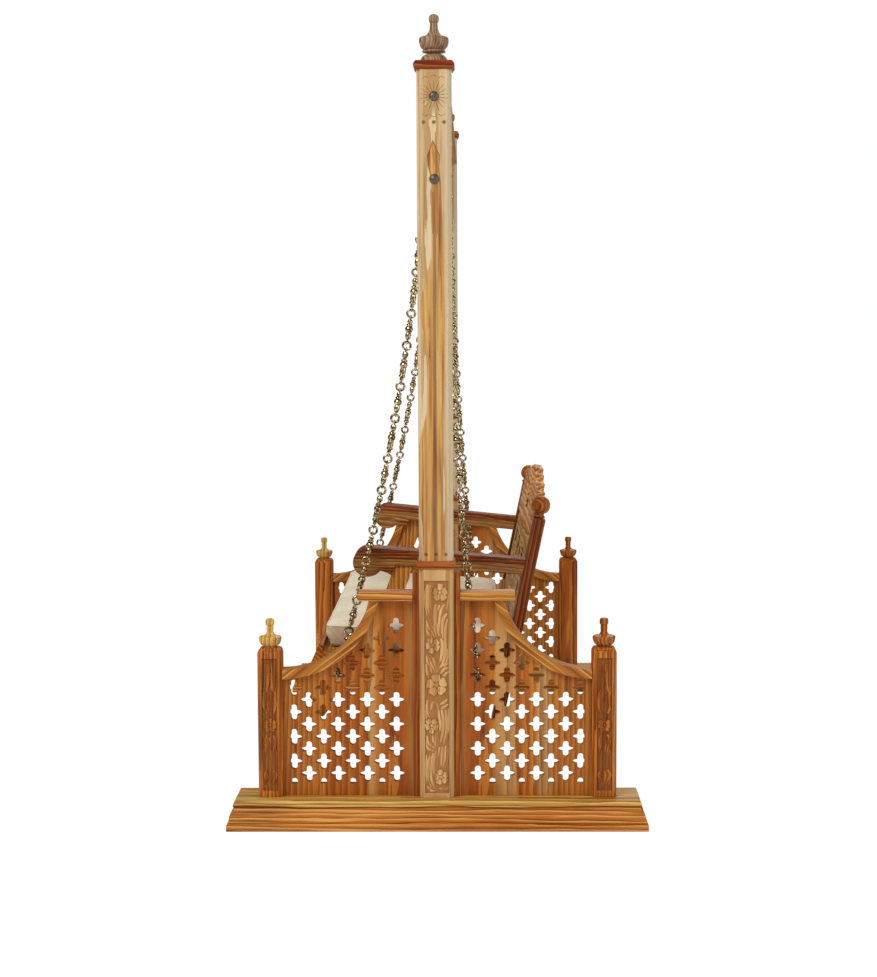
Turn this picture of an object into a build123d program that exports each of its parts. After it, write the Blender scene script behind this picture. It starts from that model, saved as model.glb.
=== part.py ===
from build123d import *
import os

# Jhoola swing: a wooden bench hung by four brass chains from a beam on two carved end frames.
# Millimetres. +X is the sitter's left, the sitter faces -Y, +Z is up.
# The origin is on the floor, in the middle of the swing.

# ---------------------------------------------------------------- driving dimensions
SEAT_HALF = 650.0          # middle of the seat to the outer face of a side rail
CHAIN_CLEARANCE = 37.0     # side rail to the plane of the chains and hangers
FRAME_CLEARANCE = 254.0    # plane of the chains to the middle of an end frame
GLUE_GAP = 0.1             # a dowel, tenon or bolt in its hole, all round

BASE_WIDTH = 190.0         # base board, along X
BASE_LENGTH = 1109.0       # base board, along Y
BASE_HEIGHT = 76.0

POST_SIZE = 90.0           # main post, square
POST_CHAMFER = 11.0
POST_TOP = 1976.0
POST_TENON = 50.0          # square foot tenon of the main post
TENON_DEPTH = 45.0
CARVING_DEPTH = 3.0        # sunk ground of the carved panels
POST_PANEL_WIDTH = 64.0
POST_PANEL_BOTTOM = 90.5
POST_PANEL_TOP = 656.0
COLLAR_SIZE = 102.5
COLLAR_BOTTOM = 687.0
COLLAR_HEIGHT = 20.0
CAP_SIZE = 106.0
CAP_HEIGHT = 22.0
GOUGE_RADIUS = 6.0
GOUGE_DEPTH = 3.0
GOUGE_PITCH = 26.0
GOUGE_HEIGHTS = (725.0, 1841.0)

MAIN_DOWEL_RADIUS = 11.0   # dowel of the main finial, through the cap into the post
MAIN_DOWEL_DEPTH = 30.0
FINIAL_HEIGHT = 122.0
TIP_RADIUS = 2.0           # small flat on top of each turned piece

CORNER_SIZE = 65.0         # corner post, square
CORNER_CHAMFER = 10.0
CORNER_INSET = 112.5       # middle of a corner post from the end of the base board
CORNER_SHOULDER = 459.0    # where the dome of the corner post starts
CORNER_DOME = 16.0
CORNER_TENON = 36.0
CORNER_PANEL_WIDTH = 40.0
CORNER_PANEL_BOTTOM = 94.0
CORNER_PANEL_TOP = 448.0
CORNER_DOWEL_RADIUS = 7.0
CORNER_DOWEL_DEPTH = 35.0
CORNER_FINIAL_HEIGHT = 75.0

STILE_WIDTH = 18.0         # strip between the main post and the panel
STILE_DEPTH = 44.0
STILE_TOP = 675.0
PANEL_THICKNESS = 20.0
STAVE_WIDTHS = (124.0, 118.0)   # the first staves from the stile; the last fills the rest
SWOOP_RADIUS = 249.5       # middle line of the curved cap rail
SWOOP_THICKNESS = 25.0
SWOOP_DEPTH = 50.0
SWOOP_CENTRE_Z = 654.0
SHELF_BOTTOM = 602.0
SHELF_THICKNESS = 21.0
SHELF_DEPTH = 74.0
SHELF_LENGTH = 144.0

HOLE_WIDTH = 42.5          # a four-lobed piercing
HOLE_HEIGHT = 43.5
HOLE_UPRIGHT_LOBE = 16.0
HOLE_SIDE_LOBE = 15.0
HOLE_PITCH_Y = 38.9        # from a column to the next, which is half a step higher
HOLE_PITCH_Z = 33.1
HOLE_FIRST_Y = 44.7        # first column from the panel's edge at the stile
HOLE_FIRST_Z = 58.4        # first full row above the base board
HOLE_EDGE_Y = 18.5         # plain edge beside the corner post
HOLE_EDGE_Z = 32.0         # plain edge above the base board
HOLE_TO_SWOOP = 24.0       # from the curved rail to the middle of the nearest hole

BEAM_THICKNESS = 76.0
BEAM_BOTTOM = 1883.0
BEAM_HEIGHT = 93.0
BEAM_TENON_THICKNESS = 30.0
BEAM_TENON_BOTTOM = 1920.0
BEAM_TENON_HEIGHT = 42.0
BEAM_TENON_LENGTH = 40.0
MOULDING_THICKNESS = 7.0
MOULDING_HEIGHT = 23.0

KNEE_LENGTH = 150.0        # knee bracket, along the beam
KNEE_HEIGHT = 226.0        # knee bracket, down the post
KNEE_THICKNESS = 40.0
KNEE_LEG = 42.0

BOLT_RADIUS = 5.0
BOLT_HEAD_RADIUS = 12.5
BOLT_HEAD_HEIGHT = 8.0
BOLT_HEIGHTS = (1697.0, 1907.0)
BOLT_REACH = 34.0          # past the inner face of the post
NUT_RADIUS = 8.0           # barrel nut
NUT_LENGTH = 34.0
NUT_FROM_POST = 24.0

PIVOT_Z = 1858.0           # hanger pin
PIN_RADIUS = 5.0
PIN_HEAD_RADIUS = 8.0
PIN_HEAD_THICKNESS = 4.0
RUNNING_GAP = 0.05         # pin in its bush
BUSH_RADIUS = 8.0
YOKE_THICKNESS = 8.0
YOKE_HUB_RADIUS = 13.0
YOKE_HUB_LENGTH = 14.0
YOKE_SPREAD = 18.0         # each chain eye from the middle of the yoke
YOKE_DROP = 14.0           # chain eyes below the pin
CHEEK_GAP = 1.0            # bracket cheek to yoke hub
CHEEK_THICKNESS = 5.0
CHEEK_WIDTH = 34.0
BRACKET_LENGTH = 100.0
BRACKET_WIDTH = 60.0
BRACKET_PLATE = 6.0
SCREW_RADIUS = 2.5
SCREW_HEAD_RADIUS = 5.5
SCREW_HEAD_HEIGHT = 3.0
SCREW_LENGTH = 30.0
SCREW_INSET = 12.0

RING_RADIUS = 10.7         # middle of the wire of a chain ring
RING_WIRE = 3.3
LINK_EYE_RADIUS = 5.5
LINK_EYE_WIRE = 1.8
LINK_PLAY = 0.2            # a link eye on its ring
# A turned link from its upper eye: (length, edge radius, crown radius) of each bead.
SHORT_BEADS = ((12, 5.0, 7.0), (6, 6.0, 8.5), (16, 6.5, 11.0), (17, 6.0, 8.0), (3, 5.0, 5.0))
LONG_BEADS = ((17, 5.5, 8.5), (4, 4.8, 4.8), (7, 6.0, 9.0), (16, 6.5, 10.7), (18, 7.0, 8.5),
              (8, 6.0, 9.2), (8, 5.0, 5.5))
SHORT_STEP = 88.0          # from a ring to the next along a short link
LONG_STEP = 112.0
STEP_PATTERN = "SSLSLSLSLSLSLSL"
FRONT_CHAIN_BOW = 38.0     # how far the chain bows inwards from a straight line
REAR_CHAIN_BOW = 17.0

SEAT_Z = 389.0             # top of the seat rails at Y = 0
SEAT_TILT = 3.83           # degrees, front edge up
SIDE_RAIL_WIDTH = 50.0
RAIL_HEIGHT = 70.0
SEAT_FRONT = -318.0        # inner face of the front rail
BACK_FOOT = 184.5          # front face of the back stiles at the seat
SIDE_RAIL_TAIL = 45.5      # side rail past the front face of the back stiles
REAR_RAIL_THICKNESS = 24.0
FRONT_LIP = 9.0            # lip of the front rail, ahead of the slats
SLAT_THICKNESS = 18.0
SLAT_COUNT = 5
SLAT_GAP = 15.0
BEARER_WIDTH = 40.0
BEARER_HEIGHT = 40.0
BEARER_PLACES = (-300.0, 0.0, 300.0)
LEG_DEPTH = 114.0          # front leg, below the side rail
LEG_WIDTH = 50.0

BACK_LEAN = 8.0            # degrees, back against the seat's upright
BACK_STILE_THICKNESS = 33.0
BACK_STILE_WIDTH = 60.0
BACK_STILE_FOOT = -178.0   # along the back, from the top of the seat rails
BACK_STILE_TOP = 412.0
BACK_BOARD_THICKNESS = 20.0
BACK_BOARD_RECESS = 8.0    # front face of the board behind that of the stiles
CREST_FRONT = 2.0          # front face of the crest behind that of the stiles
CREST_THICKNESS = 24.0
CREST_BOTTOM = 330.0
# Steps of the crest from the middle outwards: (end of the step, its height). The last step ends
# at the stile, and the others keep their share of that length.
CREST_STEPS = ((80.0, 516.0), (190.0, 505.0), (320.0, 490.0), (430.0, 474.0), (540.0, 450.0))
CREST_BOW = 3.0            # each step is a little crowned
LOWER_RAIL_BOTTOM = 20.0
LOWER_RAIL_TOP = 80.0
BALL_RADIUS = 26.0
BALL_HEIGHT = 37.5         # middle of the ball above the stile
BALL_SETBACK = 13.0        # and behind the stile's front face
BALL_DOWEL_RADIUS = 7.0
BALL_DOWEL_DEPTH = 30.0

ARM_TOP = 292.0            # above the seat rails, at the back
ARM_RISE = 9.5             # from there up to the middle of the scroll
ARM_THICKNESS = 44.0
ARM_SETBACK = 62.0         # scroll of the arm behind the front rail
ARM_SCROLL_RADIUS = 40.5
ARM_REAR_INSETS = (105.0, 50.0)     # inner and outer edge at the back, in from the side rail's face
ARM_FRONT_INSETS = (73.0, -15.0)    # the same at the scroll
SUPPORT_THICKNESS = 40.0
SUPPORT_WIDTH = 42.0
SUPPORT_SETBACK = 125.0    # middle of the arm support behind the front rail
SUPPORT_LEAN = 75.0        # its head behind its foot
SUPPORT_TENON = 24.0
SUPPORT_TENON_DEPTH = 30.0

EYE_RADIUS = 9.0
EYE_WIRE = 3.0
EYE_SHANK = 5.0
EYE_FLANGE = 12.0
EYE_DROP = 55.0            # eye bolts below the top of the seat rails
EYE_SETBACK = 40.0         # front eye bolt behind the front rail
EYE_FROM_BACK = 70.5       # rear eye bolt ahead of the back stiles
EYE_NUT_RADIUS = 9.0
EYE_NUT_THICKNESS = 8.0

CUSHION_END_GAP = 17.0     # cushion to the plane of the side rails
CUSHION_LIP_GAP = 1.0      # cushion to the lip of the front rail
CUSHION_THICKNESS = 76.0
SOFT_GAP = 0.3             # cushion to its neighbours
CUSHION_ROUNDING = 12.0

# ---------------------------------------------------------------- worked out from these
HANGER_X = SEAT_HALF + CHAIN_CLEARANCE
FRAME_X = HANGER_X + FRAME_CLEARANCE
CORNER_Y = BASE_LENGTH / 2 - CORNER_INSET
POST_FACE = POST_SIZE / 2
POST_INNER_X = FRAME_X - POST_FACE
PANEL_START = POST_FACE + STILE_WIDTH
PANEL_END = CORNER_Y - CORNER_SIZE / 2
SWOOP_OUTER = SWOOP_RADIUS + SWOOP_THICKNESS / 2
SWOOP_INNER = SWOOP_RADIUS - SWOOP_THICKNESS / 2
CAP_TOP = POST_TOP + CAP_HEIGHT
EYE_OFFSET = RING_RADIUS - RING_WIRE + LINK_EYE_RADIUS - LINK_EYE_WIRE - LINK_PLAY
SIDE_RAIL_INNER = SEAT_HALF - SIDE_RAIL_WIDTH
SIDE_RAIL_END = BACK_FOOT + SIDE_RAIL_TAIL
BALL_X = SIDE_RAIL_INNER - BACK_STILE_WIDTH / 2
ARM_FRONT = SEAT_FRONT + ARM_SETBACK
ARM_NOSE = ARM_FRONT + ARM_SCROLL_RADIUS     # middle of the scroll
SUPPORT_FOOT = SEAT_FRONT + SUPPORT_SETBACK
SUPPORT_HEAD = SUPPORT_FOOT + SUPPORT_LEAN
SUPPORT_MIDDLE = SIDE_RAIL_INNER + SUPPORT_THICKNESS / 2
EYE_PLACES = {"front": SEAT_FRONT + EYE_SETBACK, "rear": BACK_FOOT - EYE_FROM_BACK}
SIDES = {"left": 1, "right": -1}
ENDS = {"front": -1, "rear": 1}

nodes = {}


# ---------------------------------------------------------------- drawing helpers
def add(name, *solids):
    """Put solids into the node of this name."""
    nodes.setdefault(name, []).extend(solids)


def outline(points):
    """A face from corner points; a third number bows the edge to that point out to its right."""
    edges = []
    for before, after in zip(points[-1:] + points[:-1], points):
        bow = after[2] if len(after) > 2 else 0
        if bow:
            edges.append(SagittaArc(before[:2], after[:2], -bow))
        else:
            edges.append(Line(before[:2], after[:2]))
    return make_face(edges)


def block(x, y, z):
    """A box between two values on each axis."""
    middle = [(low + high) / 2 for low, high in (x, y, z)]
    sizes = [high - low for low, high in (x, y, z)]
    return Pos(*middle) * Box(*sizes)


def across(face, x_low, x_high):
    """Extrude a face drawn in Y and Z from one X to another."""
    return extrude(Plane((x_low, 0, 0), x_dir=(0, 1, 0), z_dir=(1, 0, 0)) * face, x_high - x_low)


def through(face, y_low, y_high):
    """Extrude a face drawn in X and Z from one Y to another."""
    return extrude(Plane((0, y_high, 0), x_dir=(1, 0, 0), z_dir=(0, -1, 0)) * face, y_high - y_low)


def turned(points):
    """A lathe piece about Z from (radius, height, bow) points, bottom to top."""
    top = [(0, points[-1][1])] if points[-1][0] > 0 else []
    return revolve(Plane.XZ * outline([(0, points[0][1])] + points + top), Axis.Z)


def rod(radius, x_low, x_high):
    """A round bar along X through the origin."""
    return Pos((x_low + x_high) / 2, 0, 0) * Rot(0, 90, 0) * Cylinder(radius, x_high - x_low)


def section(half, rise):
    """An upright section, symmetrical about the middle, from (inset, height, bow) steps."""
    right = [(half - step[0], step[1]) + tuple(step[2:]) for step in rise]
    left = []
    for step, above in zip(rise, rise[1:] + rise[-1:]):
        bow = above[2] if len(above) > 2 and above is not step else 0
        left.append((-(half - step[0]), step[1], bow))
    return outline(right + left[::-1])


def moulded(half_x, half_y, rise):
    """A block with the same moulding on all four sides, mitred at the corners."""
    side = through(section(half_x, rise), -half_y - 1, half_y + 1)
    end = across(section(half_y, rise), -half_x - 1, half_x + 1)
    return side & end


def square_bar(size, chamfer, z_low, z_high):
    """An upright square bar with chamfered corners."""
    bar = block((-size / 2, size / 2), (-size / 2, size / 2), (z_low, z_high))
    return chamfer_edges(bar, chamfer)


def chamfer_edges(bar, size):
    """Chamfer the upright edges of a bar."""
    return chamfer(bar.edges().filter_by(Axis.Z), size)


def mirrored(solid, side_x, side_y=1):
    """A piece drawn at +X and +Y, put on the side that the signs say."""
    if side_x < 0:
        solid = mirror(solid, about=Plane.YZ)
    if side_y < 0:
        solid = mirror(solid, about=Plane.XZ)
    return solid


def on_seat(solid):
    """From the seat's own level frame to its tilted place."""
    return Pos(0, 0, SEAT_Z) * Rot(-SEAT_TILT, 0, 0) * solid


def back_in_seat(solid):
    """From the back's own upright frame to the seat's frame."""
    return Pos(0, BACK_FOOT, 0) * Rot(-BACK_LEAN, 0, 0) * solid


def seat_point(y, z):
    """A point of the seat's frame, in the swing's frame."""
    place = Pos(0, 0, SEAT_Z) * Rot(-SEAT_TILT, 0, 0) * Pos(0, y, z)
    return place.position.Y, place.position.Z


# ---------------------------------------------------------------- end frames
def base_board():
    rise = [(0, 0), (0, 15), (3, 18, 0.7), (7, 19), (5, 23), (9, 42), (12, 45, 0.6),
            (19, 59, -3.0), (17, 62), (22, BASE_HEIGHT, 2.0)]
    board = moulded(BASE_WIDTH / 2, BASE_LENGTH / 2, rise)
    mortises = [(0, POST_TENON)] + [(sign * CORNER_Y, CORNER_TENON) for sign in (-1, 1)]
    for y, tenon in mortises:
        half = tenon / 2 + GLUE_GAP
        board -= block((-half, half), (y - half, y + half),
                       (BASE_HEIGHT - TENON_DEPTH - GLUE_GAP, BASE_HEIGHT + 1))
    return Pos(FRAME_X, 0, 0) * board


def foot_tenon(size):
    half = size / 2
    return block((-half, half), (-half, half), (BASE_HEIGHT - TENON_DEPTH, BASE_HEIGHT + 1))


def gouges():
    """Thumbnail cuts in a row on the outer face of the main post."""
    cuts = []
    for z in GOUGE_HEIGHTS:
        for place in (-1, 0, 1):
            x = POST_FACE + GOUGE_RADIUS - GOUGE_DEPTH
            cuts.append(Pos(x, place * GOUGE_PITCH, z) * Sphere(GOUGE_RADIUS))
    return cuts


def main_post():
    post = square_bar(POST_SIZE, POST_CHAMFER, BASE_HEIGHT, POST_TOP)
    half = POST_PANEL_WIDTH / 2
    for low, high in ((POST_FACE - CARVING_DEPTH, POST_FACE + 1),
                      (-POST_FACE - 1, -POST_FACE + CARVING_DEPTH)):
        post -= block((low, high), (-half, half), (POST_PANEL_BOTTOM, POST_PANEL_TOP))
    post -= gouges()
    post += foot_tenon(POST_TENON)
    for z in BOLT_HEIGHTS:
        post -= Pos(0, 0, z) * rod(BOLT_RADIUS + GLUE_GAP, -POST_SIZE, POST_SIZE)
    half = BEAM_TENON_THICKNESS / 2 + GLUE_GAP
    post -= block((-POST_SIZE, -POST_FACE + BEAM_TENON_LENGTH + GLUE_GAP), (-half, half),
                  (BEAM_TENON_BOTTOM - GLUE_GAP, BEAM_TENON_BOTTOM + BEAM_TENON_HEIGHT + GLUE_GAP))
    depth = MAIN_DOWEL_DEPTH - CAP_HEIGHT + GLUE_GAP
    post -= Pos(0, 0, POST_TOP) * Cylinder(MAIN_DOWEL_RADIUS + GLUE_GAP, 2 * depth)
    return Pos(FRAME_X, 0, 0) * post


def post_collar():
    rise = [(5, 0), (3, 2, 0.5), (5, 4, 0.5), (2, 5), (0, 8, 0.4), (0, 15), (4, COLLAR_HEIGHT, 1.0)]
    ring = Pos(0, 0, COLLAR_BOTTOM) * moulded(COLLAR_SIZE / 2, COLLAR_SIZE / 2, rise)
    ring -= square_bar(POST_SIZE, POST_CHAMFER, COLLAR_BOTTOM - 1, COLLAR_BOTTOM + COLLAR_HEIGHT + 1)
    return Pos(FRAME_X, 0, 0) * ring


def post_cap():
    rise = [(6, 0), (0, 9), (0, 13), (6, CAP_HEIGHT)]
    cap = Pos(0, 0, POST_TOP) * moulded(CAP_SIZE / 2, CAP_SIZE / 2, rise)
    cap -= Pos(0, 0, POST_TOP) * Cylinder(MAIN_DOWEL_RADIUS + GLUE_GAP, 3 * CAP_HEIGHT)
    return Pos(FRAME_X, 0, 0) * cap


def main_finial():
    profile = [(MAIN_DOWEL_RADIUS, -MAIN_DOWEL_DEPTH), (MAIN_DOWEL_RADIUS, 0), (35.5, 0),
               (35.5, 3), (18, 20, 4.0), (17, 22.5), (29, 24.5), (30.5, 27, 0.6), (29, 29.5), (25, 30.5),
               (37.5, 48, 3.0), (38, 56, 0.6), (35, 63.5, 1.2), (24, 66), (11, 84, -2.5), (9.7, 99),
               (11.5, 101), (12.7, 109, 0.8), (10.5, 118, 1.5), (TIP_RADIUS, FINIAL_HEIGHT, 0.8)]
    return Pos(FRAME_X, 0, CAP_TOP) * turned(profile)


def corner_post():
    post = square_bar(CORNER_SIZE, CORNER_CHAMFER, BASE_HEIGHT, CORNER_SHOULDER + CORNER_DOME)
    top = CORNER_SHOULDER + CORNER_DOME
    rise = [(0, BASE_HEIGHT), (0, CORNER_SHOULDER), (14, top, 3.9)]
    post &= moulded(CORNER_SIZE / 2, CORNER_SIZE / 2, rise)
    half = CORNER_PANEL_WIDTH / 2
    face = CORNER_SIZE / 2
    post -= block((face - CARVING_DEPTH, face + 1), (-half, half), (CORNER_PANEL_BOTTOM, CORNER_PANEL_TOP))
    post += foot_tenon(CORNER_TENON)
    post -= Pos(0, 0, top) * Cylinder(CORNER_DOWEL_RADIUS + GLUE_GAP, 2 * (CORNER_DOWEL_DEPTH + GLUE_GAP))
    return Pos(FRAME_X, CORNER_Y, 0) * post


def corner_finial():
    profile = [(CORNER_DOWEL_RADIUS, -CORNER_DOWEL_DEPTH), (CORNER_DOWEL_RADIUS, 0), (17.5, 0),
               (17, 2.5), (29, 18, 3.0), (30, 23, 0.6), (28.5, 28, 0.8), (14, 32), (9.5, 47, -2.5),
               (9, 57), (11.5, 60), (11.5, 70), (8.5, CORNER_FINIAL_HEIGHT, 0.8)]
    return Pos(FRAME_X, CORNER_Y, CORNER_SHOULDER + CORNER_DOME) * turned(profile)


def panel_stile():
    half = STILE_DEPTH / 2
    return block((FRAME_X - half, FRAME_X + half), (POST_FACE, PANEL_START), (BASE_HEIGHT, STILE_TOP))


def shelf_rail():
    half = SHELF_DEPTH / 2
    return block((FRAME_X - half, FRAME_X + half), (PANEL_START, PANEL_START + SHELF_LENGTH),
                 (SHELF_BOTTOM, SHELF_BOTTOM + SHELF_THICKNESS))


def quarter_region():
    """The part of the panel's plane between the stile, the corner post, the base and the shelf."""
    width = PANEL_END - PANEL_START
    height = SHELF_BOTTOM - BASE_HEIGHT
    return Pos(PANEL_START + width / 2, BASE_HEIGHT + height / 2) * Rectangle(width, height)


def swoop_rail():
    centre = Pos(PANEL_END, SWOOP_CENTRE_Z)
    band = centre * Circle(SWOOP_OUTER) - centre * Circle(SWOOP_INNER)
    half = SWOOP_DEPTH / 2
    return across(band & quarter_region(), FRAME_X - half, FRAME_X + half)


def piercing():
    """A four-lobed hole, round lobes up and down and pointed ones to the sides."""
    upright = Rot(0, 0, 90) * SlotOverall(HOLE_HEIGHT, HOLE_UPRIGHT_LOBE)
    return upright + Ellipse(HOLE_WIDTH / 2, HOLE_SIDE_LOBE / 2)


def piercings():
    """All holes of a panel, cut off by its plain edges."""
    low_y, high_y = PANEL_START, PANEL_END - HOLE_EDGE_Y
    low_z, high_z = BASE_HEIGHT + HOLE_EDGE_Z, SHELF_BOTTOM
    window = Pos((low_y + high_y) / 2, (low_z + high_z) / 2) * Rectangle(high_y - low_y, high_z - low_z)
    hole = piercing()
    holes = []
    columns = int((PANEL_END - PANEL_START - HOLE_FIRST_Y) / HOLE_PITCH_Y) + 1
    rows = int((SHELF_BOTTOM - BASE_HEIGHT) / HOLE_PITCH_Z)
    for column in range(columns):
        for row in range(-1, rows):
            y = PANEL_START + HOLE_FIRST_Y + column * HOLE_PITCH_Y
            z = BASE_HEIGHT + HOLE_FIRST_Z + row * HOLE_PITCH_Z
            to_centre = Vector(PANEL_END - y, SWOOP_CENTRE_Z - z).length
            clear = to_centre > SWOOP_OUTER + HOLE_TO_SWOOP and z < SHELF_BOTTOM - HOLE_HEIGHT
            if (column + row) % 2 == 0 and clear:
                placed = Pos(y, z) * hole
                whole = z - HOLE_HEIGHT / 2 > low_z and y + HOLE_WIDTH / 2 < high_y
                holes.append(placed if whole else placed & window)
    return holes


def lattice_staves():
    centre = Pos(PANEL_END, SWOOP_CENTRE_Z)
    face = quarter_region() - centre * Circle(SWOOP_OUTER)
    face -= piercings()
    half = PANEL_THICKNESS / 2
    panel = across(face, FRAME_X - half, FRAME_X + half)
    seams = [PANEL_START]
    for width in STAVE_WIDTHS:
        seams.append(seams[-1] + width)
    seams.append(PANEL_END)
    slab = (FRAME_X - PANEL_THICKNESS, FRAME_X + PANEL_THICKNESS)
    staves = []
    for low, high in zip(seams, seams[1:]):
        staves.extend((panel & block(slab, (low, high), (0, SHELF_BOTTOM + 1))).solids())
    return staves


# ---------------------------------------------------------------- beam and hangers
def barrel_nuts():
    """The two barrel nuts of the left end: one in the knee bracket and one in the beam."""
    nut = Rot(90, 0, 0) * Cylinder(NUT_RADIUS, NUT_LENGTH)
    nut -= rod(BOLT_RADIUS + GLUE_GAP, -NUT_RADIUS * 2, NUT_RADIUS * 2)
    return [Pos(POST_INNER_X - NUT_FROM_POST, 0, z) * nut for z in BOLT_HEIGHTS]


def bolt_room(z):
    """The space that a bolt and its nut take inside the post."""
    shank = Pos(0, 0, z) * rod(BOLT_RADIUS + GLUE_GAP, POST_INNER_X - BOLT_REACH - GLUE_GAP, POST_INNER_X + 1)
    well = Rot(90, 0, 0) * Cylinder(NUT_RADIUS + GLUE_GAP, NUT_LENGTH + 2 * GLUE_GAP)
    return shank + Pos(POST_INNER_X - NUT_FROM_POST, 0, z) * well


def beam_bolts():
    outer = FRAME_X + POST_FACE
    shank = rod(BOLT_RADIUS, POST_INNER_X - BOLT_REACH, outer)
    head_profile = [(BOLT_HEAD_RADIUS, 0), (BOLT_HEAD_RADIUS, 2), (TIP_RADIUS, BOLT_HEAD_HEIGHT, 1.6)]
    head = Pos(outer, 0, 0) * Rot(0, 90, 0) * turned(head_profile)
    return [Pos(0, 0, z) * (shank + head) for z in BOLT_HEIGHTS]


def top_beam():
    end = POST_INNER_X
    half = BEAM_THICKNESS / 2
    beam = block((-end, end), (-half, half), (BEAM_BOTTOM, BEAM_BOTTOM + BEAM_HEIGHT))
    half = BEAM_TENON_THICKNESS / 2
    reach = end + BEAM_TENON_LENGTH
    beam += block((-reach, reach), (-half, half), (BEAM_TENON_BOTTOM, BEAM_TENON_BOTTOM + BEAM_TENON_HEIGHT))
    room = bolt_room(BOLT_HEIGHTS[1])
    beam -= room + mirrored(room, -1)
    for x, y in screw_places():
        hole = Pos(x, y, BEAM_BOTTOM) * Cylinder(SCREW_RADIUS + GLUE_GAP, 2 * SCREW_LENGTH)
        beam -= hole + mirrored(hole, -1)
    return beam


def beam_mouldings():
    half = BEAM_THICKNESS / 2
    rise = [(0, 0), (0, 5), (3, 9, -1.0), (3, 15), (6, MOULDING_HEIGHT, -1.5)]
    edge = outline([(half, BEAM_BOTTOM)]
                   + [(half + MOULDING_THICKNESS - step[0], BEAM_BOTTOM + step[1]) + tuple(step[2:])
                      for step in rise]
                   + [(half, BEAM_BOTTOM + MOULDING_HEIGHT)])
    strip = across(edge, -POST_INNER_X, POST_INNER_X)
    return [strip, mirrored(strip, 1, -1)]


def knee_bracket():
    post, beam = POST_INNER_X, BEAM_BOTTOM
    leg_bottom = beam - KNEE_HEIGHT
    shape = outline([(post, beam), (post - KNEE_LENGTH, beam), (post - KNEE_LENGTH, beam - 20),
                     (post - KNEE_LENGTH + 12, beam - 28, -3.0),
                     (post - KNEE_LEG, leg_bottom + 34, -34.0),
                     (post - KNEE_LEG + 8, leg_bottom + 24, -3.0),
                     (post - KNEE_LEG + 16, leg_bottom, 4.0), (post, leg_bottom)])
    bracket = through(shape, -KNEE_THICKNESS / 2, KNEE_THICKNESS / 2)
    return bracket - bolt_room(BOLT_HEIGHTS[0])


def screw_places():
    """The bracket screws of the left hanger."""
    reach_x = BRACKET_LENGTH / 2 - SCREW_INSET
    reach_y = BRACKET_WIDTH / 2 - SCREW_INSET
    return [(HANGER_X + sx * reach_x, sy * reach_y) for sx in (-1, 1) for sy in (-1, 1)]


def hanger_bracket():
    plate_bottom = BEAM_BOTTOM - BRACKET_PLATE
    bracket = block((-BRACKET_LENGTH / 2, BRACKET_LENGTH / 2), (-BRACKET_WIDTH / 2, BRACKET_WIDTH / 2),
                    (plate_bottom, BEAM_BOTTOM))
    inner = YOKE_HUB_LENGTH / 2 + CHEEK_GAP
    half = CHEEK_WIDTH / 2
    cheek = outline([(half, plate_bottom + 1), (-half, plate_bottom + 1), (-half, PIVOT_Z),
                     (half, PIVOT_Z, half)])
    for low, high in ((inner, inner + CHEEK_THICKNESS), (-inner - CHEEK_THICKNESS, -inner)):
        bracket += across(cheek, low, high)
    bracket -= Pos(0, 0, PIVOT_Z) * rod(PIN_RADIUS + GLUE_GAP, -BRACKET_LENGTH, BRACKET_LENGTH)
    bracket = Pos(HANGER_X, 0, 0) * bracket
    for x, y in screw_places():
        bracket -= Pos(x, y, BEAM_BOTTOM) * Cylinder(SCREW_RADIUS + GLUE_GAP, 3 * BRACKET_PLATE)
    return bracket


def bracket_screws():
    plate_bottom = BEAM_BOTTOM - BRACKET_PLATE
    profile = [(SCREW_HEAD_RADIUS - 2.5, -SCREW_HEAD_HEIGHT), (SCREW_HEAD_RADIUS, 0, 1.0),
               (SCREW_RADIUS, 0), (SCREW_RADIUS, SCREW_LENGTH)]
    return [Pos(x, y, plate_bottom) * turned(profile) for x, y in screw_places()]


def hanger_pin():
    reach = YOKE_HUB_LENGTH / 2 + CHEEK_GAP + CHEEK_THICKNESS
    pin = rod(PIN_RADIUS, -reach, reach)
    pin += rod(PIN_HEAD_RADIUS, reach, reach + PIN_HEAD_THICKNESS)
    pin += rod(PIN_HEAD_RADIUS, -reach - PIN_HEAD_THICKNESS, -reach)
    return Pos(HANGER_X, 0, PIVOT_Z) * pin


def yoke_eye(side):
    """The middle of a chain eye of the yoke, in Y and Z."""
    return side * YOKE_SPREAD, PIVOT_Z - YOKE_DROP


def hanger_yoke():
    low = -YOKE_DROP + RING_RADIUS - RING_WIRE + 0.5
    reach = YOKE_SPREAD + 2.5
    web = outline([(reach, low), (reach, low + 5), (10, 10), (-10, 10), (-reach, low + 5), (-reach, low)])
    yoke = Pos(0, 0, PIVOT_Z) * across(web, -YOKE_THICKNESS / 2, YOKE_THICKNESS / 2)
    yoke += Pos(0, 0, PIVOT_Z) * rod(YOKE_HUB_RADIUS, -YOKE_HUB_LENGTH / 2, YOKE_HUB_LENGTH / 2)
    for side in (-1, 1):
        y, z = yoke_eye(side)
        yoke += Pos(0, y, z) * face_ring(RING_RADIUS, RING_WIRE)
    yoke -= Pos(0, 0, PIVOT_Z) * rod(BUSH_RADIUS + GLUE_GAP, -YOKE_HUB_LENGTH, YOKE_HUB_LENGTH)
    return Pos(HANGER_X, 0, 0) * yoke


def swivel_bush():
    half = YOKE_HUB_LENGTH / 2
    bush = rod(BUSH_RADIUS, -half, half) - rod(PIN_RADIUS + RUNNING_GAP, -half - 1, half + 1)
    return Pos(HANGER_X, 0, PIVOT_Z) * bush


# ---------------------------------------------------------------- chains
def face_ring(radius, wire):
    """A ring of round wire that stands in a plane across X."""
    return Rot(0, 90, 0) * Torus(radius, wire)


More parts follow.
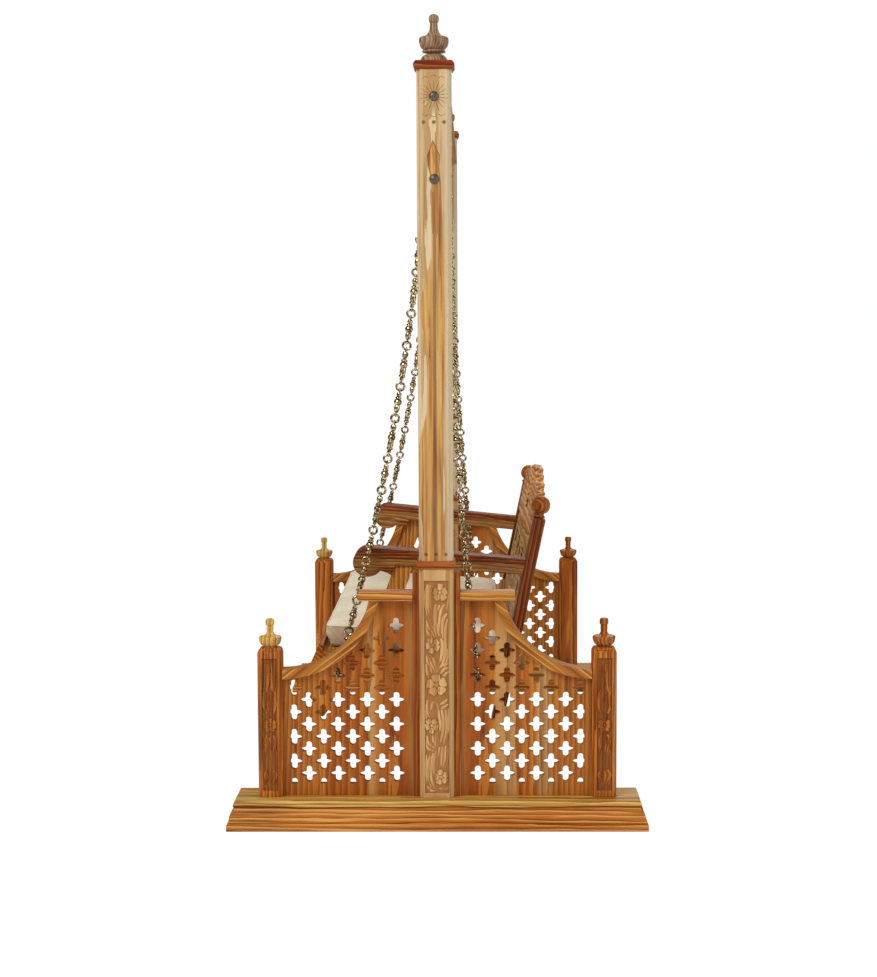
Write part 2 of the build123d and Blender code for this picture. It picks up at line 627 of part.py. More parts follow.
def turned_link(length, beads):
    """A turned link along Z with an eye at each end, from eye middle to eye middle."""
    eye = Rot(90, 0, 0) * Torus(LINK_EYE_RADIUS, LINK_EYE_WIRE)
    stretch = (length - 2 * LINK_EYE_RADIUS) / sum(bead[0] for bead in beads)
    points = []
    height = LINK_EYE_RADIUS
    for share, edge, crown in beads:
        points.append((edge, height))
        height += share * stretch
        points.append((edge, height, crown - edge))
    return turned(points) + eye + Pos(0, 0, length) * eye


def chain(side, end):
    """Rings and turned links from an eye of the yoke down to the ring of a seat eye bolt."""
    top = Vector(*yoke_eye(end))
    eye = Vector(*seat_point(EYE_PLACES["front" if end < 0 else "rear"], -EYE_DROP))
    hang = (top - eye).normalized() * (EYE_RADIUS - EYE_WIRE - RING_WIRE - LINK_PLAY + RING_RADIUS)
    bottom = eye + hang
    bow = FRONT_CHAIN_BOW if end < 0 else -REAR_CHAIN_BOW
    line = SagittaArc(top, bottom, bow)
    steps = [SHORT_STEP if letter == "S" else LONG_STEP for letter in STEP_PATTERN]
    knots = [line @ (sum(steps[:count]) / sum(steps)) for count in range(len(steps) + 1)]
    pieces = []
    for letter, upper, lower in zip(STEP_PATTERN, knots, knots[1:]):
        along = (lower - upper).normalized()
        start = upper + along * EYE_OFFSET
        length = (lower - upper).length - 2 * EYE_OFFSET
        link = turned_link(length, SHORT_BEADS if letter == "S" else LONG_BEADS)
        place = Plane((HANGER_X, start.X, start.Y), x_dir=(1, 0, 0), z_dir=(0, along.X, along.Y))
        pieces.append(place * link)
        pieces.append(Pos(HANGER_X, lower.X, lower.Y) * face_ring(RING_RADIUS, RING_WIRE))
    return [mirrored(piece, side) for piece in pieces]


def eye_bolts():
    """The eye bolts and nuts of the left side rail, in the seat's frame."""
    pieces = []
    reach = SIDE_RAIL_INNER - EYE_NUT_THICKNESS - 3
    flange = 3.0
    for y in EYE_PLACES.values():
        bolt = rod(EYE_SHANK, reach, HANGER_X - EYE_RADIUS) + rod(EYE_FLANGE, SEAT_HALF, SEAT_HALF + flange)
        bolt += Pos(HANGER_X, 0, 0) * Rot(90, 0, 0) * Torus(EYE_RADIUS, EYE_WIRE)
        hexagon = extrude(Plane.YZ * RegularPolygon(EYE_NUT_RADIUS, 6), -EYE_NUT_THICKNESS)
        nut = Pos(SIDE_RAIL_INNER, 0, 0) * hexagon
        nut -= rod(EYE_SHANK + GLUE_GAP, reach - 1, SEAT_HALF)
        pieces += [Pos(0, y, -EYE_DROP) * bolt, Pos(0, y, -EYE_DROP) * nut]
    return pieces


# ---------------------------------------------------------------- seat, in its own level frame
def seat_side_rail():
    rail = block((SIDE_RAIL_INNER, SEAT_HALF), (SEAT_FRONT, SIDE_RAIL_END), (-RAIL_HEIGHT, 0))
    for y in EYE_PLACES.values():
        rail -= Pos(0, y, -EYE_DROP) * rod(EYE_SHANK + GLUE_GAP, SIDE_RAIL_INNER - 1, SEAT_HALF + 1)
    half = SUPPORT_TENON / 2 + GLUE_GAP
    rail -= block((SUPPORT_MIDDLE - half, SUPPORT_MIDDLE + half), (SUPPORT_FOOT - half, SUPPORT_FOOT + half),
                  (-SUPPORT_TENON_DEPTH - GLUE_GAP, 1))
    return rail


def front_rail():
    profile = outline([(SEAT_FRONT, 0), (SEAT_FRONT, -RAIL_HEIGHT), (SEAT_FRONT - 26, -RAIL_HEIGHT),
                       (SEAT_FRONT - 31, -RAIL_HEIGHT + 12, 1.0), (SEAT_FRONT - 38, -46, 2.0),
                       (SEAT_FRONT - 42, -38, -1.5), (SEAT_FRONT - 22, 14), (SEAT_FRONT - 17, 19, -2.0),
                       (SEAT_FRONT - FRONT_LIP - 2, 19), (SEAT_FRONT - FRONT_LIP, 17, -0.8),
                       (SEAT_FRONT - FRONT_LIP, 0)])
    return across(profile, -SEAT_HALF, SEAT_HALF)


def rear_rail():
    reach = SIDE_RAIL_INNER - BACK_STILE_WIDTH
    start = BACK_FOOT + 1
    return block((-reach, reach), (start, start + REAR_RAIL_THICKNESS), (-RAIL_HEIGHT, 0))


def cross_bearers():
    top = -SLAT_THICKNESS
    return [block((x - BEARER_WIDTH / 2, x + BEARER_WIDTH / 2), (SEAT_FRONT, BACK_FOOT + 1),
                  (top - BEARER_HEIGHT, top)) for x in BEARER_PLACES]


def seat_slats():
    room = BACK_FOOT - RAIL_HEIGHT * 0.13 - SEAT_FRONT
    width = (room - (SLAT_COUNT - 1) * SLAT_GAP) / SLAT_COUNT
    slats = []
    for number in range(SLAT_COUNT):
        start = SEAT_FRONT + number * (width + SLAT_GAP)
        slat = block((-SIDE_RAIL_INNER, SIDE_RAIL_INNER), (start, start + width), (-SLAT_THICKNESS, 0))
        slats.append(slat)
    return slats


def front_leg():
    top, foot = -RAIL_HEIGHT, -RAIL_HEIGHT - LEG_DEPTH
    front = SEAT_FRONT - 26
    shape = outline([(front + 52, top, 14.0), (front, top), (front - 12, top - 62, -5.0),
                     (front + 8, foot + 4, -6.0), (front + 12, foot, -1.0), (front + 30, foot)])
    return across(shape, SEAT_HALF - LEG_WIDTH, SEAT_HALF)


def arm_plan():
    """The arm from above: narrow at the back, broad at the scroll."""
    rear, front = SIDE_RAIL_END + 20, ARM_FRONT - 10
    rear_inner, rear_outer = [SEAT_HALF - inset for inset in ARM_REAR_INSETS]
    front_inner, front_outer = [SEAT_HALF - inset for inset in ARM_FRONT_INSETS]
    face = make_face(Polyline((rear_inner, rear), (rear_outer, rear), (front_outer, front),
                              (front_inner, front), close=True))
    return extrude(Pos(0, 0, ARM_TOP - 3 * ARM_SCROLL_RADIUS) * face, 4 * ARM_SCROLL_RADIUS)


def behind_back_stiles():
    """All that lies behind the front face of the back stiles, to trim the arms against it."""
    return back_in_seat(block((-2 * SEAT_HALF, 2 * SEAT_HALF), (0, SEAT_HALF), (-SEAT_HALF, SEAT_HALF)))


def arm_top(y):
    """The height of the arm's top, which rises to the front."""
    return ARM_TOP + ARM_RISE * (BACK_FOOT - y) / (BACK_FOOT - ARM_NOSE)


def arm_under(y):
    """The height of the arm's underside behind the scroll."""
    return arm_top(y) - ARM_THICKNESS


def support_front(z):
    """The front edge of the arm support at a height."""
    head = SUPPORT_HEAD - SUPPORT_WIDTH / 2
    return head - SUPPORT_LEAN * (1 - z / arm_under(head))


def arm():
    radius, rear = ARM_SCROLL_RADIUS, BACK_FOOT + 60
    top = arm_top(ARM_NOSE)
    low = top - 2 * radius
    bow = 0.2929 * radius      # a quarter of a circle
    head = SUPPORT_HEAD - SUPPORT_WIDTH / 2
    shape = outline([(rear, arm_top(rear)), (ARM_NOSE, top), (ARM_FRONT, top - radius, bow),
                     (ARM_NOSE, low, bow), (ARM_NOSE + 37, low + 18, 5.0),
                     (support_front(low + 7), low + 7, -2.0), (head, arm_under(head)),
                     (rear, arm_under(rear))])
    low_x, high_x = SEAT_HALF - max(ARM_REAR_INSETS), SEAT_HALF - min(ARM_FRONT_INSETS)
    return (across(shape, low_x - 1, high_x + 1) & arm_plan()) - behind_back_stiles()


def arm_support():
    half = SUPPORT_WIDTH / 2
    neck, heel = SUPPORT_HEAD + half, SUPPORT_HEAD + half + 14
    shape = outline([(support_front(0), 0), (SUPPORT_FOOT + half, 0), (neck, arm_under(neck) - 34),
                     (heel, arm_under(heel), -5.0), (SUPPORT_HEAD - half, arm_under(SUPPORT_HEAD - half))])
    support = across(shape, SIDE_RAIL_INNER, SIDE_RAIL_INNER + SUPPORT_THICKNESS)
    half = SUPPORT_TENON / 2
    return support + block((SUPPORT_MIDDLE - half, SUPPORT_MIDDLE + half),
                           (SUPPORT_FOOT - half, SUPPORT_FOOT + half), (-SUPPORT_TENON_DEPTH, 1))


def cushion():
    rear = BACK_FOOT - SOFT_GAP - 1
    half = SIDE_RAIL_INNER - CUSHION_END_GAP
    front = SEAT_FRONT - FRONT_LIP + CUSHION_LIP_GAP
    pad = block((-half, half), (front, rear), (SOFT_GAP, CUSHION_THICKNESS))
    return fillet(pad.edges().filter_by(Axis.X), CUSHION_ROUNDING)


# ---------------------------------------------------------------- back, in its own upright frame
def back_stile():
    stile = block((SIDE_RAIL_INNER - BACK_STILE_WIDTH, SIDE_RAIL_INNER), (0, BACK_STILE_THICKNESS),
                  (BACK_STILE_FOOT, BACK_STILE_TOP))
    depth = BALL_DOWEL_DEPTH + GLUE_GAP
    return stile - Pos(BALL_X, BALL_SETBACK, BACK_STILE_TOP) * Cylinder(BALL_DOWEL_RADIUS + GLUE_GAP, 2 * depth)


def ball_finial():
    low = BALL_HEIGHT - BALL_RADIUS
    profile = [(BALL_DOWEL_RADIUS, -BALL_DOWEL_DEPTH), (BALL_DOWEL_RADIUS, 0), (12, 0), (12, 2),
               (17, 4), (17, 8, 0.8), (14, 10), (14, low + 3), (15, low + 5),
               (BALL_RADIUS, BALL_HEIGHT, 4.0), (TIP_RADIUS, BALL_HEIGHT + BALL_RADIUS, 7.0)]
    return Pos(BALL_X, BALL_SETBACK, BACK_STILE_TOP) * turned(profile)


def back_board():
    reach = SIDE_RAIL_INNER - BACK_STILE_WIDTH
    return block((-reach, reach), (BACK_BOARD_RECESS, BACK_BOARD_RECESS + BACK_BOARD_THICKNESS),
                 (LOWER_RAIL_TOP, CREST_BOTTOM))


def crest_rail():
    reach = SIDE_RAIL_INNER - BACK_STILE_WIDTH
    stretch = reach / CREST_STEPS[-1][0]
    right = []
    for (end, height), (_, below) in zip(CREST_STEPS, CREST_STEPS[1:] + CREST_STEPS[-1:]):
        right.append((end * stretch, height, CREST_BOW))
        if below < height:
            right.append((end * stretch, below + 6))
            right.append((end * stretch + 6, below, 1.8))
    corners = [(0, CREST_STEPS[0][1])] + right + [(reach, CREST_BOTTOM), (0, CREST_BOTTOM)]
    half = through(outline(corners), CREST_FRONT, CREST_FRONT + CREST_THICKNESS)
    return half + mirrored(half, -1)


def lower_back_rail():
    reach = SIDE_RAIL_INNER - BACK_STILE_WIDTH
    return block((-reach, reach), (0, CREST_THICKNESS), (LOWER_RAIL_BOTTOM, LOWER_RAIL_TOP))


# ---------------------------------------------------------------- assembly
def build_stand():
    post, corner, staves = main_post(), corner_post(), lattice_staves()
    for name, side in SIDES.items():
        add(f"{name}_base_board", mirrored(base_board(), side))
        add(f"{name}_main_post", mirrored(post, side))
        add(f"{name}_post_collar", mirrored(post_collar(), side))
        add("post_caps", mirrored(post_cap(), side))
        add("main_finials", mirrored(main_finial(), side))
        for end_name, end in ENDS.items():
            add(f"{name}_{end_name}_corner_post", mirrored(corner, side, end))
            add(f"{name}_{end_name}_lattice", *[mirrored(stave, side, end) for stave in staves])
            add(f"{name}_corner_finials", mirrored(corner_finial(), side, end))
            add(f"{name}_panel_stiles", mirrored(panel_stile(), side, end))
            add(f"{name}_swoop_rails", mirrored(swoop_rail(), side, end))
            add(f"{name}_shelf_rails", mirrored(shelf_rail(), side, end))
        add("knee_brackets", mirrored(knee_bracket(), side))
        add("beam_bolts", *[mirrored(bolt, side) for bolt in beam_bolts()])
        add("barrel_nuts", *[mirrored(nut, side) for nut in barrel_nuts()])
        add(f"{name}_hanger_bracket", mirrored(hanger_bracket(), side))
        add("hanger_pins", mirrored(hanger_pin(), side))
        add("bracket_screws", *[mirrored(screw, side) for screw in bracket_screws()])
    add("top_beam", top_beam())
    add("beam_mouldings", *beam_mouldings())


def build_swing():
    for name, side in SIDES.items():
        add(f"{name}_hanger_yoke", mirrored(hanger_yoke(), side))
        add("swivel_bushes", mirrored(swivel_bush(), side))
        for end_name, end in ENDS.items():
            add(f"{name}_{end_name}_chain", *chain(side, end))
        add("eye_bolts", *[mirrored(on_seat(piece), side) for piece in eye_bolts()])
        add(f"{name}_seat_rail", mirrored(on_seat(seat_side_rail()), side))
        add("front_legs", mirrored(on_seat(front_leg()), side))
        add(f"{name}_arm", mirrored(on_seat(arm()), side))
        add(f"{name}_arm_support", mirrored(on_seat(arm_support()), side))
        add(f"{name}_back_stile", mirrored(on_seat(back_in_seat(back_stile())), side))
        add("ball_finials", mirrored(on_seat(back_in_seat(ball_finial())), side))
    add("front_rail", on_seat(front_rail()))
    add("rear_rail", on_seat(rear_rail()))
    add("cross_bearers", *[on_seat(bearer) for bearer in cross_bearers()])
    add("seat_slats", *[on_seat(slat) for slat in seat_slats()])
    add("cushion", on_seat(cushion()))
    add("back_board", on_seat(back_in_seat(back_board())))
    add("crest_rail", on_seat(back_in_seat(crest_rail())))
    add("lower_back_rail", on_seat(back_in_seat(lower_back_rail())))


def write_parts():
    os.makedirs("parts", exist_ok=True)
    for name, solids in nodes.items():
        shape = solids[0] if len(solids) == 1 else Compound(children=solids)
        export_step(shape, f"parts/{name}.step")


build_stand()
build_swing()
write_parts()
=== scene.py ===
import math

import bpy
from mathutils import Matrix, Vector


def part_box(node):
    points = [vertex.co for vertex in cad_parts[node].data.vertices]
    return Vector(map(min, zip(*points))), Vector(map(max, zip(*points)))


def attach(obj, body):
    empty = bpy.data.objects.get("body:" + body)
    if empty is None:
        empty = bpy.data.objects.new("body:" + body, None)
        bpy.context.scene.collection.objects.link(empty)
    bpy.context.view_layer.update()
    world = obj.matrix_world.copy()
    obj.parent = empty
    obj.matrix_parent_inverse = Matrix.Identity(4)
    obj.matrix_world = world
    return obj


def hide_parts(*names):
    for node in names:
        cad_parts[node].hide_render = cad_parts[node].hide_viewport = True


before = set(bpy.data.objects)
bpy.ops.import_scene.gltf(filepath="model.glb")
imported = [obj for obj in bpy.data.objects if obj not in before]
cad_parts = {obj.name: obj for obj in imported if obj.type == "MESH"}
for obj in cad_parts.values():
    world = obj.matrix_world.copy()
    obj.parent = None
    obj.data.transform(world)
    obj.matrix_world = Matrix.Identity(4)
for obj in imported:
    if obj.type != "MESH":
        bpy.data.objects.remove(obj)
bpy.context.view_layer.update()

# ------------------------------ sizes, in metres
MM = 0.001
SIDES = (("left", 1), ("right", -1))
ENDS = (("front", -1), ("rear", 1))
CARVING_DEPTH = 3 * MM              # sunk ground of the carved panels
COLLAR_LOW = 687 * MM
UPPER_BOLT = 1907 * MM              # the bolt that the rosette surrounds
SEAT_HEIGHT = 389 * MM              # top of the seat rails in the middle of the seat
SEAT_TILT = math.radians(-3.83)
BACK_PLACE = 184.5 * MM             # front of the back stiles, in the seat's frame
BACK_LEAN = math.radians(-8.0)
BOARD_RECESS = 8 * MM               # the board and the crest behind the face of the stiles
CREST_SETBACK = 2 * MM

post_low, post_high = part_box("left_main_post")
corner_low, corner_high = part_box("left_rear_corner_post")
POST_X = (post_low.x + post_high.x) / 2
POST_FACE = post_high.x
CORNER_Y = (corner_low.y + corner_high.y) / 2
CORNER_FACE = corner_high.x

SEAT_FRAME = Matrix.Translation((0, 0, SEAT_HEIGHT)) @ Matrix.Rotation(SEAT_TILT, 4, "X")
BACK_FRAME = (SEAT_FRAME @ Matrix.Translation((0, BACK_PLACE, 0))
              @ Matrix.Rotation(BACK_LEAN, 4, "X"))


# ------------------------------ selecting and placing
def select(*pieces):
    """Select these pieces and nothing else, the first one active."""
    if bpy.context.mode != "OBJECT":
        bpy.ops.object.mode_set(mode="OBJECT")
    bpy.ops.object.select_all(action="DESELECT")
    for piece in pieces:
        piece.select_set(True)
    if pieces:
        bpy.context.view_layer.objects.active = pieces[0]


def settle(piece):
    """Put the piece's place into its mesh."""
    select(piece)
    bpy.ops.object.transform_apply(location=True, rotation=True, scale=True)
    return piece


def joined(name, pieces):
    """One mesh of several, with its faces pointing outwards."""
    select(*pieces)
    if len(pieces) > 1:
        bpy.ops.object.join()
    piece = settle(bpy.context.object)
    piece.name = name
    bpy.ops.object.mode_set(mode="EDIT")
    bpy.ops.mesh.select_all(action="SELECT")
    bpy.ops.mesh.normals_make_consistent(inside=False)
    bpy.ops.object.mode_set(mode="OBJECT")
    return piece


def twin(piece, place):
    """A copy with its own mesh, at another place."""
    other = piece.copy()
    other.data = piece.data.copy()
    bpy.context.collection.objects.link(other)
    other.matrix_world = place @ piece.matrix_world
    return other


def remove(piece):
    bpy.data.objects.remove(piece, do_unlink=True)


def apply_modifiers(piece):
    select(piece)
    for modifier in list(piece.modifiers):
        bpy.ops.object.modifier_apply(modifier=modifier.name)


def converted(target):
    """The active piece, turned into a mesh or a curve."""
    bpy.ops.object.convert(target=target)
    return bpy.context.object


def coat(piece, *materials):
    """Give a piece these materials and no other."""
    piece.data.materials.clear()
    for material in materials:
        piece.data.materials.append(material)


# ------------------------------ materials
def colour(red, green, blue):
    """A screen colour from 0 to 255, as the shader takes it."""
    shares = [value / 255 for value in (red, green, blue)]
    linear = [s / 12.92 if s <= 0.04045 else ((s + 0.055) / 1.055) ** 2.4 for s in shares]
    return (*linear, 1.0)


def wave_scale(width):
    """The scale at which the bands of a wave texture are this wide."""
    return 2 * math.pi / (20 * width)


def feed(tree, node, inputs):
    """Give the inputs of a node their values, or link them to the sockets given."""
    for name, value in inputs.items():
        if isinstance(value, bpy.types.NodeSocket):
            tree.links.new(value, node.inputs[name])
        else:
            node.inputs[name].default_value = value


def add_node(tree, kind, inputs=None, **settings):
    """A new node of a shader, with its settings and inputs."""
    made = tree.nodes.new(kind)
    for name, value in settings.items():
        setattr(made, name, value)
    feed(tree, made, inputs or {})
    return made


class Finish:
    """A material in the making, with short calls that add its nodes."""

    def __init__(self, name, **shader):
        self.material = bpy.data.materials.new(name)
        self.material.use_nodes = True
        self.tree = self.material.node_tree
        self.surface = self.tree.nodes["Principled BSDF"]
        feed(self.tree, self.surface, {name.replace("_", " "): shader[name] for name in shader})
        self.spot = self.node("ShaderNodeTexCoord").outputs["Object"]
        self.x, self.y, self.z = self.node("ShaderNodeSeparateXYZ", {"Vector": self.spot}).outputs

    def node(self, kind, inputs=None, **settings):
        return add_node(self.tree, kind, inputs, **settings)

    def placed(self, spot, scale=(1, 1, 1), turn=(0, 0, 0)):
        inputs = {"Vector": spot, "Scale": scale, "Rotation": turn}
        return self.node("ShaderNodeMapping", inputs).outputs["Vector"]

    def noise(self, spot, scale, detail=2.0, roughness=0.5):
        inputs = {"Vector": spot, "Scale": scale, "Detail": detail, "Roughness": roughness}
        return self.node("ShaderNodeTexNoise", inputs).outputs["Fac"]

    def maths(self, operation, first, second=0.0, third=0.0):
        inputs = {0: first, 1: second, 2: third}
        return self.node("ShaderNodeMath", inputs, operation=operation).outputs[0]

    def times(self, first, second):
        return self.maths("MULTIPLY", first, second)

    def minus(self, first, second):
        return self.maths("SUBTRACT", first, second)

    def times_plus(self, first, second, third):
        return self.maths("MULTIPLY_ADD", first, second, third)

    def distance(self, first, second):
        return self.maths("ABSOLUTE", self.minus(first, second))

    def fit(self, value, low, high, to_low=0.0, to_high=1.0):
        inputs = {"Value": value, "From Min": low, "From Max": high, "To Min": to_low,
                  "To Max": to_high}
        fitted = self.node("ShaderNodeMapRange", inputs, interpolation_type="SMOOTHSTEP")
        return fitted.outputs["Result"]

    def mix(self, share, first, second, blend="MIX"):
        inputs = {0: share, 6: first, 7: second}
        return self.node("ShaderNodeMix", inputs, data_type="RGBA", blend_type=blend).outputs[2]

    def ramp(self, value, stops):
        made = self.node("ShaderNodeValToRGB", {"Fac": value})
        elements = made.color_ramp.elements
        while len(elements) < len(stops):
            elements.new(0.5)
        for element, (place, tone) in zip(elements, stops):
            element.position = place
            element.color = tone
        return made.outputs["Color"]

    def rounded_normal(self):
        """Edges that catch the light as if they were eased with sandpaper."""
        return self.node("ShaderNodeBevel", {"Radius": EASED_EDGE}, samples=4).outputs["Normal"]

    def edge_share(self, rounded):
        """0 on a flat face and 1 on a sharp edge."""
        true_normal = self.node("ShaderNodeNewGeometry").outputs["Normal"]
        same = self.node("ShaderNodeVectorMath", {0: rounded, 1: true_normal},
                         operation="DOT_PRODUCT")
        return self.fit(same.outputs["Value"], 0.99, 0.80)

    def openness(self, reach):
        """1 in the open, and less in a groove no wider than the reach."""
        return self.node("ShaderNodeAmbientOcclusion", {"Distance": reach}, samples=6).outputs["AO"]

    def relief(self, height, strength, depth=0.6 * MM, normal=None):
        inputs = {"Height": height, "Strength": strength, "Distance": depth}
        if normal:
            inputs["Normal"] = normal
        bump = self.node("ShaderNodeBump", inputs)
        feed(self.tree, self.surface, {"Normal": bump.outputs["Normal"]})

    def paint(self, tone):
        feed(self.tree, self.surface, {"Base Color": tone})

    def shine(self, roughness):
        feed(self.tree, self.surface, {"Roughness": roughness})


EASED_EDGE = 1.6 * MM
THREAD = 1.3 * MM                   # from one thread of the cushion's cloth to the next
OILED = {"Coat_Weight": 0.05, "Coat_Roughness": 0.24, "Specular_IOR_Level": 0.20}
OIL_TINT = (0.96, 0.88, 0.62, 1.0)  # what the oil takes from the colour of all but the pale wood


def tones(*screen):
    """Screen colours of the teak: light wood, body, dark ring and the thin dark streaks."""
    return [colour(*levels) for levels in screen]


HONEY = tones((204, 134, 62), (168, 92, 26), (128, 60, 12), (84, 36, 8))
AMBER = tones((226, 170, 104), (186, 116, 52), (142, 76, 26), (88, 42, 14))
GOLD = tones((212, 158, 88), (178, 116, 52), (146, 84, 28), (100, 52, 18))
YELLOW = tones((226, 192, 124), (194, 152, 86), (150, 106, 52), (96, 60, 26))
CREAM = tones((218, 196, 158), (204, 176, 134), (184, 146, 98), (136, 92, 48))
BROWN = tones((190, 118, 50), (152, 84, 26), (114, 54, 14), (70, 32, 10))
UMBER = tones((166, 98, 56), (122, 58, 24), (88, 36, 12), (52, 20, 8))
REDWOOD = tones((176, 98, 50), (144, 68, 28), (106, 42, 14), (62, 22, 8))
ASH = tones((198, 168, 128), (164, 128, 92), (124, 90, 60), (84, 56, 34))
TAN = tones((190, 150, 98), (158, 118, 72), (124, 86, 48), (86, 54, 28))
RUST = tones((176, 98, 30), (146, 72, 14), (112, 50, 8), (74, 30, 6))
SMOKE = tones((172, 138, 110), (136, 104, 80), (98, 70, 50), (60, 40, 28))
CARVED = tones((220, 178, 120), (200, 152, 94), (176, 124, 68), (128, 78, 34))
# INCISED: darker tones for the cut lines of the rosettes, painted shade inside the cuts.
INCISED = tones((176, 136, 92), (150, 108, 66), (126, 84, 48), (90, 56, 28))

# How a board is turned so that its grain runs along the Z axis.
TURNS = {"Z": (0.0, 0.0, 0.0), "X": (0.0, -math.pi / 2, 0.0), "Y": (math.pi / 2, 0.0, 0.0)}
# How much its rings, streaks and fibres are stretched along the grain.
RING_STRETCH, STREAK_STRETCH, FIBRE_STRETCH = 0.10, 0.035, 0.028
LEAN = (0.02, 0.015)                # grain against the board's length, in radians
RING = 11 * MM


class Wood(Finish):
    """A board of oiled teak, placed in the log that it was sawn from: the core is the Z axis."""

    def __init__(self, name, grain, core, lean=LEAN, ring=RING, wander=5.0, alike=False):
        super().__init__(name, **OILED)
        spot = self.both_ends() if alike else self.spot
        moved = self.node("ShaderNodeVectorMath", {0: spot, 1: core}, operation="SUBTRACT")
        turn = TURNS[grain]
        self.log = self.placed(moved.outputs["Vector"],
                               turn=(turn[0] + lean[0], turn[1] + lean[1], turn[2]))
        stretched = self.placed(self.log, scale=(1, 1, RING_STRETCH))
        waves = {"Vector": stretched, "Scale": wave_scale(ring), "Distortion": wander,
                 "Detail": 2.5, "Detail Scale": 1.1, "Detail Roughness": 0.6}
        rings = self.node("ShaderNodeTexWave", waves, wave_type="RINGS", rings_direction="Z",
                          wave_profile="SAW").outputs["Fac"]
        fibre_space = self.placed(self.log, scale=(1, 1, FIBRE_STRETCH))
        self.fibres = self.noise(fibre_space, 260.0, 5.0, 0.62)
        drift = self.noise(stretched, 17.0, 3.0, 0.55)
        rings_and_drift = self.times_plus(rings, 0.34, self.times(drift, 0.42))
        self.figure = self.times_plus(self.fibres, 0.34, rings_and_drift)

    def both_ends(self):
        """Coordinates that are the same at the front end and at the rear."""
        parts = {"X": self.x, "Y": self.maths("ABSOLUTE", self.y), "Z": self.z}
        return self.node("ShaderNodeCombineXYZ", parts).outputs["Vector"]

    def board(self, tones):
        """The colour of plain wood in these tones."""
        pale, body, dark, _ = tones
        return self.ramp(self.figure, [(0.40, dark), (0.49, body), (0.56, body), (0.67, pale)])

    def oiled(self, tone, tones, wear=0.35, grooves=0.0, tint=OIL_TINT):
        """Streaks, worn edges, painted shade in the grooves, gloss and relief, common to all the
        teak.
        """
        thin = self.noise(self.placed(self.log, scale=(1, 1, STREAK_STRETCH)), 62.0)
        tone = self.mix(self.times(self.fit(thin, 0.59, 0.72), 0.6), tone, tones[3])
        rounded = self.rounded_normal()
        tone = self.mix(self.times(self.edge_share(rounded), wear), tone, tones[0])
        if grooves:
            # Painted shade: the grooves are darkened where little light gets in.
            groove_shade = self.fit(self.openness(5 * MM), 0.95, 0.25, 0.0, grooves)
            tone = self.mix(groove_shade, tone, tones[3])
        if tint:
            tone = self.mix(1.0, tone, tint, "MULTIPLY")
        self.paint(tone)
        self.shine(self.fit(self.fibres, 0.25, 0.8, 0.34, 0.50))
        self.relief(self.times_plus(self.fibres, 0.7, self.times(self.figure, 0.3)), 0.22,
                    normal=rounded)
        return self.material


def teak(name, tones, grain, core, lean=LEAN, ring=RING, grooves=0.0, tint=OIL_TINT):
    """A plain board of oiled teak."""
    wood = Wood(name, grain, core, lean, ring)
    return wood.oiled(wood.board(tones), tones, grooves=grooves, tint=tint)


# The brown heart on the face of a main post: (height, left edge, right edge), in mm.
HEART = ((700, -36, 26), (800, -36, 25), (850, -44, 22), (1010, -44, 22), (1100, -24, 23),
         (1260, -22, 26), (1340, -36, 27), (1390, -36, 27), (1500, -9, 26), (1690, -7, 19),
         (1720, -15, 15), (1757, -19, 17), (1795, -3.6, -0.6), (1822, -2.6, -1.6), (1832, -3, -3))
HEART_TONES = ((0.36, colour(120, 66, 26)), (0.45, colour(168, 106, 46)),
               (0.56, colour(196, 142, 70)), (0.72, colour(220, 176, 106)))
LOWER_TONES = ((0.30, colour(168, 116, 62)), (0.5, colour(196, 152, 96)),
               (0.75, colour(212, 176, 124)))
GREY_EDGE = colour(206, 188, 158)
VINE_GROUND = colour(160, 102, 52)
CORNER_GROUND = colour(98, 50, 16)
GOUGE_ROWS = (725 * MM, 1841 * MM)
GOUGE_PITCH = 26 * MM


def along_height(wood, places):
    """A value that follows (height, value) places, both in mm."""
    reach, most = 2000.0, 100.0
    stops = [(z / reach, ((value + most) / (2 * most),) * 3 + (1.0,)) for z, value in places]
    share = wood.ramp(wood.times(wood.z, 1 / (reach * MM)), stops)
    return wood.times_plus(share, 2 * most * MM, -most * MM)


def with_heart(wood, sapwood):
    """The brown heart in the sapwood, with a dark core and a dark outline round its flame."""
    ragged = wood.noise(wood.placed(wood.spot, scale=(1, 1, 0.045)), 70.0, 3.0, 0.6)
    across = wood.times_plus(ragged, 9 * MM, wood.minus(wood.y, 4.5 * MM))
    left = along_height(wood, [(z, left_edge) for z, left_edge, _ in HEART])
    right = along_height(wood, [(z, right_edge) for z, _, right_edge in HEART])
    share = wood.times(wood.fit(wood.minus(across, left), -0.5 * MM, 4 * MM),
                       wood.fit(wood.minus(right, across), -0.5 * MM, 5 * MM))
    bands = wood.noise(wood.placed(wood.spot, scale=(1, 1, 0.03)), 110.0)
    heart = wood.ramp(wood.times_plus(bands, 0.75, wood.times(wood.figure, 0.3)), HEART_TONES)
    core = wood.times(wood.fit(across, -7 * MM, -2 * MM), wood.fit(across, 4 * MM, 0.5 * MM))
    core = wood.times(core, wood.fit(wood.z, 1.74, 1.62))
    heart = wood.mix(wood.times(core, 0.65), heart, BROWN[3])
    tone = wood.mix(wood.times(share, 0.86), sapwood, heart)
    rim = wood.times(share, wood.minus(1.0, share))
    return wood.mix(wood.times(rim, wood.fit(wood.z, 1.62, 1.70, 0.8, 3.0)), tone, BROWN[2])


def with_gouges(wood, tone):
    """Dark bottoms in the two rows of thumbnail cuts, painted shade inside them."""
    column = wood.maths("ROUND", wood.maths("DIVIDE", wood.y, GOUGE_PITCH))
    aside = wood.minus(wood.y, wood.times(column, GOUGE_PITCH))
    for row in GOUGE_ROWS:
        above = wood.minus(wood.z, row)
        away = wood.maths("SQRT", wood.times_plus(aside, aside, wood.times(above, above)))
        tone = wood.mix(wood.fit(away, 5.5 * MM, 3.5 * MM, 0.0, 0.7), tone, BROWN[2])
    return tone


